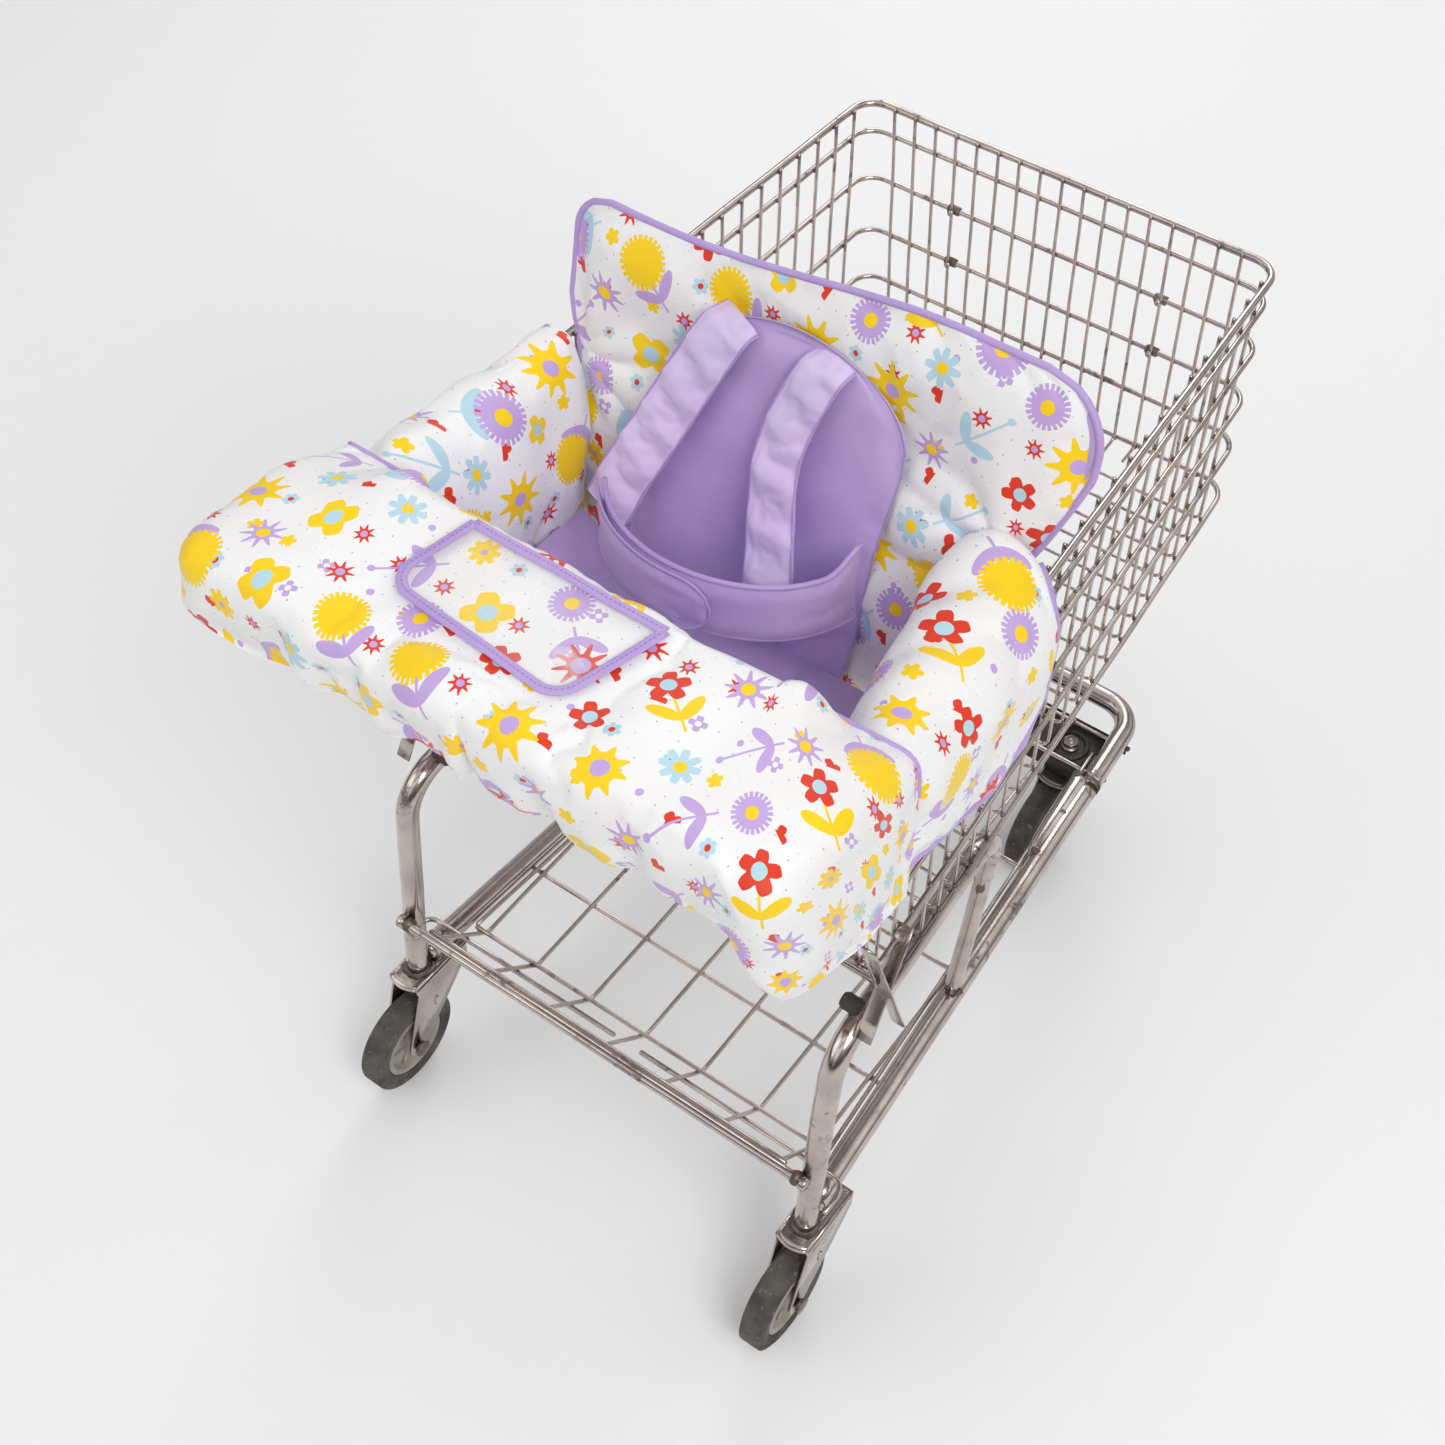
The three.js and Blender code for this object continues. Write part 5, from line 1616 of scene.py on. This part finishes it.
def shoulder_strap(side_name):
    """A webbing band that bows away from the back, with a seam along each edge."""
    rows, columns = 64, 12
    line = spline(STRAPS[side_name], rows)
    path = np.array([on_seat(y, up, -out) for y, up, out in line])
    along = np.gradient(path, axis=0)
    facing = unit_rows(np.cross([0.0, 1.0, 0.0], along))
    sideways = unit_rows(np.cross(along, facing))
    width = np.linspace(*STRAP_WIDTHS[side_name], rows)[:, None] * np.linspace(-0.5, 0.5, columns)
    grid = path[:, None] + sideways[:, None] * width[..., None]
    travel = np.arange(rows)[:, None] * 5.0
    across = np.linspace(-1, 1, columns)[None, :]
    phase = 1 if side_name == "left" else 3
    crumple = np.sin(travel / 9.0 + across * 1.4 + phase) * step_smooth(travel / 120)
    grid = grid + facing[:, None] * (crumple * 1.1 * (1 - across**2 * 0.5))[..., None]
    half = 1.3 + 3.0 * step_smooth(steps_in(columns)[None, :] / 2.5)
    uv = np.stack(np.broadcast_arrays(travel, across * 22), axis=2) / MM
    name = f"shoulder_strap_cloth_{side_name}"
    Pad(name, grid, half, uv, PALE, "child_seat_back", f"shoulder_strap_{side_name}").inflate(3.0, 4.0, 0.05)
    for column, letter in ((0, "a"), (-1, "b")):
        edge = grid[:, column] * 0.97 + grid[:, 5] * 0.03 + facing * 1.2
        rail(f"strap_{side_name}_seam_{letter}", edge, 1.1, sides=6)


BELT_CENTRE = (318.0, 36.0)
BELT_REACH = (110.0, 138.0)
BELT_REACH_LEFT = 126.0  # the belt is a little flatter on its left side
BELT_HEIGHT = (758.0, 826.0)


def belt_point(angle, out):
    """Round the belt: 90 degrees is its left end at the padded back, 270 its right end."""
    turn = math.radians(angle)
    half = BELT_REACH_LEFT if angle < 180 else BELT_REACH[1]
    normal = unit(np.array([math.cos(turn) / BELT_REACH[0], math.sin(turn) / half, 0.0]))
    x = BELT_CENTRE[0] + BELT_REACH[0] * math.cos(turn)
    y = BELT_CENTRE[1] + half * math.sin(turn)
    return np.array([x, y, 0.0]) + normal * out, normal


def belt_band(name, angles, low, high, out, half_top, seed, *replaced, round_end=0.0):
    """A band round the child's waist. With round_end, it narrows to a rounded free end."""

    def point(angle, s):
        place_on, normal = belt_point(angle, out)
        narrow = 1.0
        if round_end:
            remain = min(1.0, (angles[-1] - angle) / round_end)
            narrow = max(math.sqrt(1 - (1 - remain) ** 2), 0.12)
        across = s * (high - low) / 2 * narrow
        rise = (8 + 12 * s) * step_smooth((angle - 246) / 20)  # the sewn right end sits a little higher
        up = np.array([0, 0, (low + high) / 2 + across + rise])
        return place_on + normal * (2.5 * s * s - 1) + up, (angle * 2, across)

    rows, columns = len(angles), 13
    grid, uv = sheet_of(angles, np.linspace(-1, 1, columns), point)
    near = border_steps(rows, columns)
    grid = wobble(grid, 0.8, 60, seed, step_smooth(near / 3.0))
    half = 1.4 + half_top * step_smooth(near / 3.0)
    Pad(name, grid, half, uv, LAVENDER, "child_seat_back", *replaced).inflate(3.0, 3.0, 0.03)
    return grid


def waist_belt():
    """The belt, its overlapping tab, their bound edges and the stitching."""
    low, high = BELT_HEIGHT
    belt = belt_band("waist_belt_cloth", np.linspace(122, 266, 66), low, high, 0.0, 2.2, 41, "waist_belt")
    tab_turn = np.linspace(126, 200, 42)
    tab = belt_band("waist_belt_tab", tab_turn, low + 1, high - 2, 7.0, 1.6, 43, round_end=13)
    rail("waist_belt_top_edge", belt[:, -1] + [0, 0, 0.5], 2.6)
    rail("waist_belt_low_edge", belt[:, 0], 2.0)
    rail("waist_belt_tab_edge", list(tab[:, -1]) + list(tab[::-1, 0]), 1.5, sides=8)
    shape = Shape()
    for line in (tab[2:-3, 2], tab[2:-3, -3], belt[40:, 2]):
        stitch_line(shape, line, (-1, 0, 0))
    piece(shape, "waist_belt_stitches", THREAD, body="child_seat_back")


# ---- Seat, well and bolsters ----
def seat_cushion():
    """The plain seat of the cover: crowned, with sides that rise to the bolsters and two sewn channels."""
    low, high = node_box("cover_seat")
    channel_y = 66

    def point(x, y):
        lip = 46 * step_smooth((abs(y) - 150) / 62)
        channel = -3.5 * math.exp(-(((abs(y) - channel_y) / 5) ** 2))
        return (x, y, (low[2] + high[2]) / 2 + lip + channel), (x, y)

    rows, columns = 32, 66
    along, across = np.linspace(low[0] - 6, high[0] + 16, rows), np.linspace(low[1] - 6, high[1] + 6, columns)
    grid, uv = sheet_of(along, across, point)
    near = border_steps(rows, columns)
    grid = wobble(grid, 1.8, 80, 51, step_smooth(near / 4.0))
    half = 2.0 + 8.0 * step_smooth(near / 4.0)
    pad = Pad("cover_seat_cushion", grid, half, uv, LAVENDER, "child_seat_pan", "cover_seat")
    pad.hold(np.abs(np.abs(grid[..., 1]) - channel_y) < 4).inflate(4.0, 6.0, 0.02)


def front_well():
    """The plain wall from the drape's inner seam down to the seat, with two leg holes cut in it."""

    def point(s, t):
        swell = math.sin(math.pi * s)
        x = WELL_X + 32 * s**1.3 - 6 * swell * (1 - t * t)
        return (x, t * (204 + 10 * swell), 912 - s * 236), (t * 210, -s * 236)

    rows, columns = 36, 66
    grid, uv = sheet_of(np.linspace(0, 1, rows), np.linspace(-1, 1, columns), point)
    grid = wobble(grid, 2.4, 80, 61, np.minimum(1, steps_in(rows)[:, None] / 5.0))
    cell = grid[:-1, :-1]
    across, down = (np.abs(cell[..., 1]) - 124) / 62, (cell[..., 2] - 758) / 52
    bend = ("root", "gate", (74, 0, 905), (84, 0, 830))
    pad = Pad("cover_front_well", grid, 1.8, uv, LAVENDER, None, keep=across**4 + down**4 > 1, bend=bend)
    pad.inflate(2.0, 4.0, 0.03)


# The bolsters' middle lines in (distance from the cart's centre, height), from the seat up over the rim and
# down outside it, at their rear and front ends. The left one has slumped onto the rim.
BOLSTER_LINES = {
    "left": (
        ((228, 690), (228, 740), (229, 790), (233, 840), (244, 878), (260, 899), (278, 896), (292, 878),
         (298, 850), (298, 800), (298, 742)),
        ((226, 690), (226, 730), (228, 770), (232, 810), (240, 848), (252, 874), (266, 880), (282, 874),
         (294, 850), (298, 800), (298, 742)),
    ),
    "right": (
        ((230, 690), (230, 740), (231, 800), (236, 850), (248, 880), (264, 893), (280, 890), (293, 876),
         (298, 850), (298, 800), (298, 750)),
        ((220, 690), (218, 740), (214, 800), (206, 850), (204, 882), (221, 901), (252, 902), (283, 888),
         (298, 860), (298, 800), (298, 750)),
    ),
}
BOLSTER_HALF = {
    "left": ((0, 5.5), (0.1, 10.0), (0.3, 12.0), (0.42, 9.0), (0.52, 6.0), (0.6, 5.0), (0.78, 3.6),
             (0.9, 2.8), (1.0, 1.6)),
    "right": ((0, 5.5), (0.06, 12.0), (0.2, 15.0), (0.42, 17.0), (0.52, 15.0), (0.60, 12.0), (0.68, 8.0),
              (0.78, 3.6), (0.9, 2.8), (1.0, 1.6)),
}
BOLSTER_HEM = ((94, 757), (132, 760), (182, 746), (234, 735), (283, 741), (311, 780))
BOLSTER_START = 88
BOLSTER_END = 310


def bolster(side_name, sign):
    """The padded side roll, from the seat up over the rim and down outside to a bound hem."""
    rows, columns = 42, 68
    rear, front = (spline([(0, y, z) for y, z in line], columns) for line in BOLSTER_LINES[side_name])
    shares = np.linspace(0, 1, columns)
    travel = travel_along(front)

    def point(s, j):
        blend = step_smooth(s) * 0.6 + s * 0.4
        _, y, z = rear[j] * (1 - blend) + front[j] * blend
        # The padded end stops at the leaning back; the outer flap runs on past it.
        reach = 4 if sign > 0 else 1 - 0.3 * max(0.0, y - 211)
        inner_end = SEAT_FACE[0] + (z - SEAT_FACE[2]) * SEAT_LEAN + reach
        outer = step_smooth((shares[j] - 0.6) / 0.15)
        end = inner_end * (1 - outer) + BOLSTER_END * outer
        x = BOLSTER_START + (end - BOLSTER_START) * s
        hem = (profile_of(x, BOLSTER_HEM) - rear[-1][2]) * step_smooth((shares[j] - 0.8) / 0.2)
        return (x, sign * y, z + hem), (x, sign * travel[j] + 200)

    order = range(columns) if sign > 0 else range(columns - 1, -1, -1)
    grid, uv = sheet_of(np.linspace(0, 1, rows), order, point)
    edge = steps_in(rows)[:, None] / 3.5
    round_end = np.sqrt(np.clip(1 - (1 - np.clip(edge, 0, 1)) ** 2, 0, 1))
    half = 1.4 + (profile_of(shares[list(order)], BOLSTER_HALF[side_name])[None, :] - 1.4) * round_end
    grid = wobble(grid, 3.2, 80, 70 + sign, np.minimum(1, edge))
    bend = ("gate", "child_seat_back", (112, 0, 800), (300, 0, 800))
    name, node = f"cover_bolster_{side_name}", f"cover_side_{side_name}"
    Pad(name, grid, half, uv, PRINT, None, node, bend=bend).inflate(4.0, 9.0, 0.03)
    # Piping along the hem, then up the front edge to the rim.
    from_hem = grid[:, ::-sign]
    flap_end = from_hem[-1][shares[::-1] > 0.60] + np.array([0.6, 0, 0])
    path = dense(list(from_hem[:, 0]) + list(flap_end[1:]), 9)
    rail(f"cover_bolster_piping_{side_name}", path, 4.8, None, bend, sides=12)


def build_cover():
    drape()
    pocket()
    back_panel()
    centre_panel()
    for side_name, sign in SIDES:
        shoulder_strap(side_name)
        bolster(side_name, sign)
    waist_belt()
    seat_cushion()
    front_well()
    run_cloth()
    for pad in Pad.made:
        pad.finish()


build_cover()


# ---- Floor, light and camera ----
FLOOR_REACH = 9000.0
WORLD_STRENGTH = 1.08
CAMERA_AT = (-1.1944, -0.7523, 2.1652)
CAMERA_LOOK = (0.5201, 0.3673, -0.7711)
CAMERA_ROLL = 0.9154
CAMERA_LENS = 51.9


def floor():
    shape = Shape()
    corners = [(x * FLOOR_REACH, y * FLOOR_REACH, -0.5) for x, y in ((-1, -1), (1, -1), (1, 1), (-1, 1))]
    shape.add(corners, [(0, 1, 2, 3)])
    paint = Paint("studio_floor")
    tone = paint.noise(paint.place(), 0.6, 2)
    paint.set(Base_Color=paint.mix(tone, colour("#EFEFEF"), colour("#EDEDEE")), Roughness=0.95)
    shape.build("floor", [paint.material])


def soft_box(name, location, target, size, power):
    data = bpy.data.lights.new(name, "AREA")
    data.shape = "RECTANGLE"
    data.size, data.size_y = size
    data.energy = power
    lamp = bpy.data.objects.new(name, data)
    lamp.location = location
    lamp.rotation_euler = (Vector(target) - Vector(location)).to_track_quat("-Z", "Y").to_euler()
    bpy.context.scene.collection.objects.link(lamp)


def studio():
    # Plain display of colour, so that the print and the floor keep their own tones.
    bpy.context.scene.view_settings.view_transform = "Standard"
    world = bpy.data.worlds.new("studio")
    bpy.context.scene.world = world
    # A pale dome, dim near the horizon and with a few darker flags, for the chrome to reflect.
    paint = Paint("studio", world)
    direction = paint.made("TexCoord", (), "Generated")
    height = paint.split(direction)[2]
    flags = paint.span(paint.noise(paint.scaled(direction, 1.0, 1.0, 0.6), 3.2, 1), 0.44, 0.54)
    dome = paint.span(height, 0.02, 0.5, 0.10, 1.0) * (flags * 0.75 + 0.25)
    # Seen directly, the backdrop is as plain and pale as the floor.
    seen = paint.made("LightPath", (), "Is Camera Ray")
    lit = paint.mix(dome, colour("#2A2420"), colour("#FFFFFF"))
    background = world.node_tree.nodes["Background"]
    paint.connect(paint.mix(seen, lit, colour("#DCDCDC")), background.inputs["Color"])
    background.inputs["Strength"].default_value = WORLD_STRENGTH
    soft_box("key", (-1.6, -2.4, 3.4), (0, 0, 0.6), (1.8, 1.8), 62)
    soft_box("fill", (-2.6, 2.2, 2.2), (0, 0, 0.7), (2.0, 2.0), 14)
    soft_box("rim", (2.8, 1.2, 2.6), (0, 0, 0.6), (1.6, 2.4), 30)


def camera():
    data = bpy.data.cameras.new("camera")
    data.lens = CAMERA_LENS
    data.sensor_width = 36
    data.clip_end = 50
    thing = bpy.data.objects.new("camera", data)
    thing.location = CAMERA_AT
    level = Vector(CAMERA_LOOK).to_track_quat("-Z", "Y")
    thing.rotation_mode = "QUATERNION"
    thing.rotation_quaternion = level @ Quaternion((0, 0, 1), math.radians(CAMERA_ROLL))
    bpy.context.scene.collection.objects.link(thing)
    bpy.context.scene.camera = thing


floor()
studio()
camera()
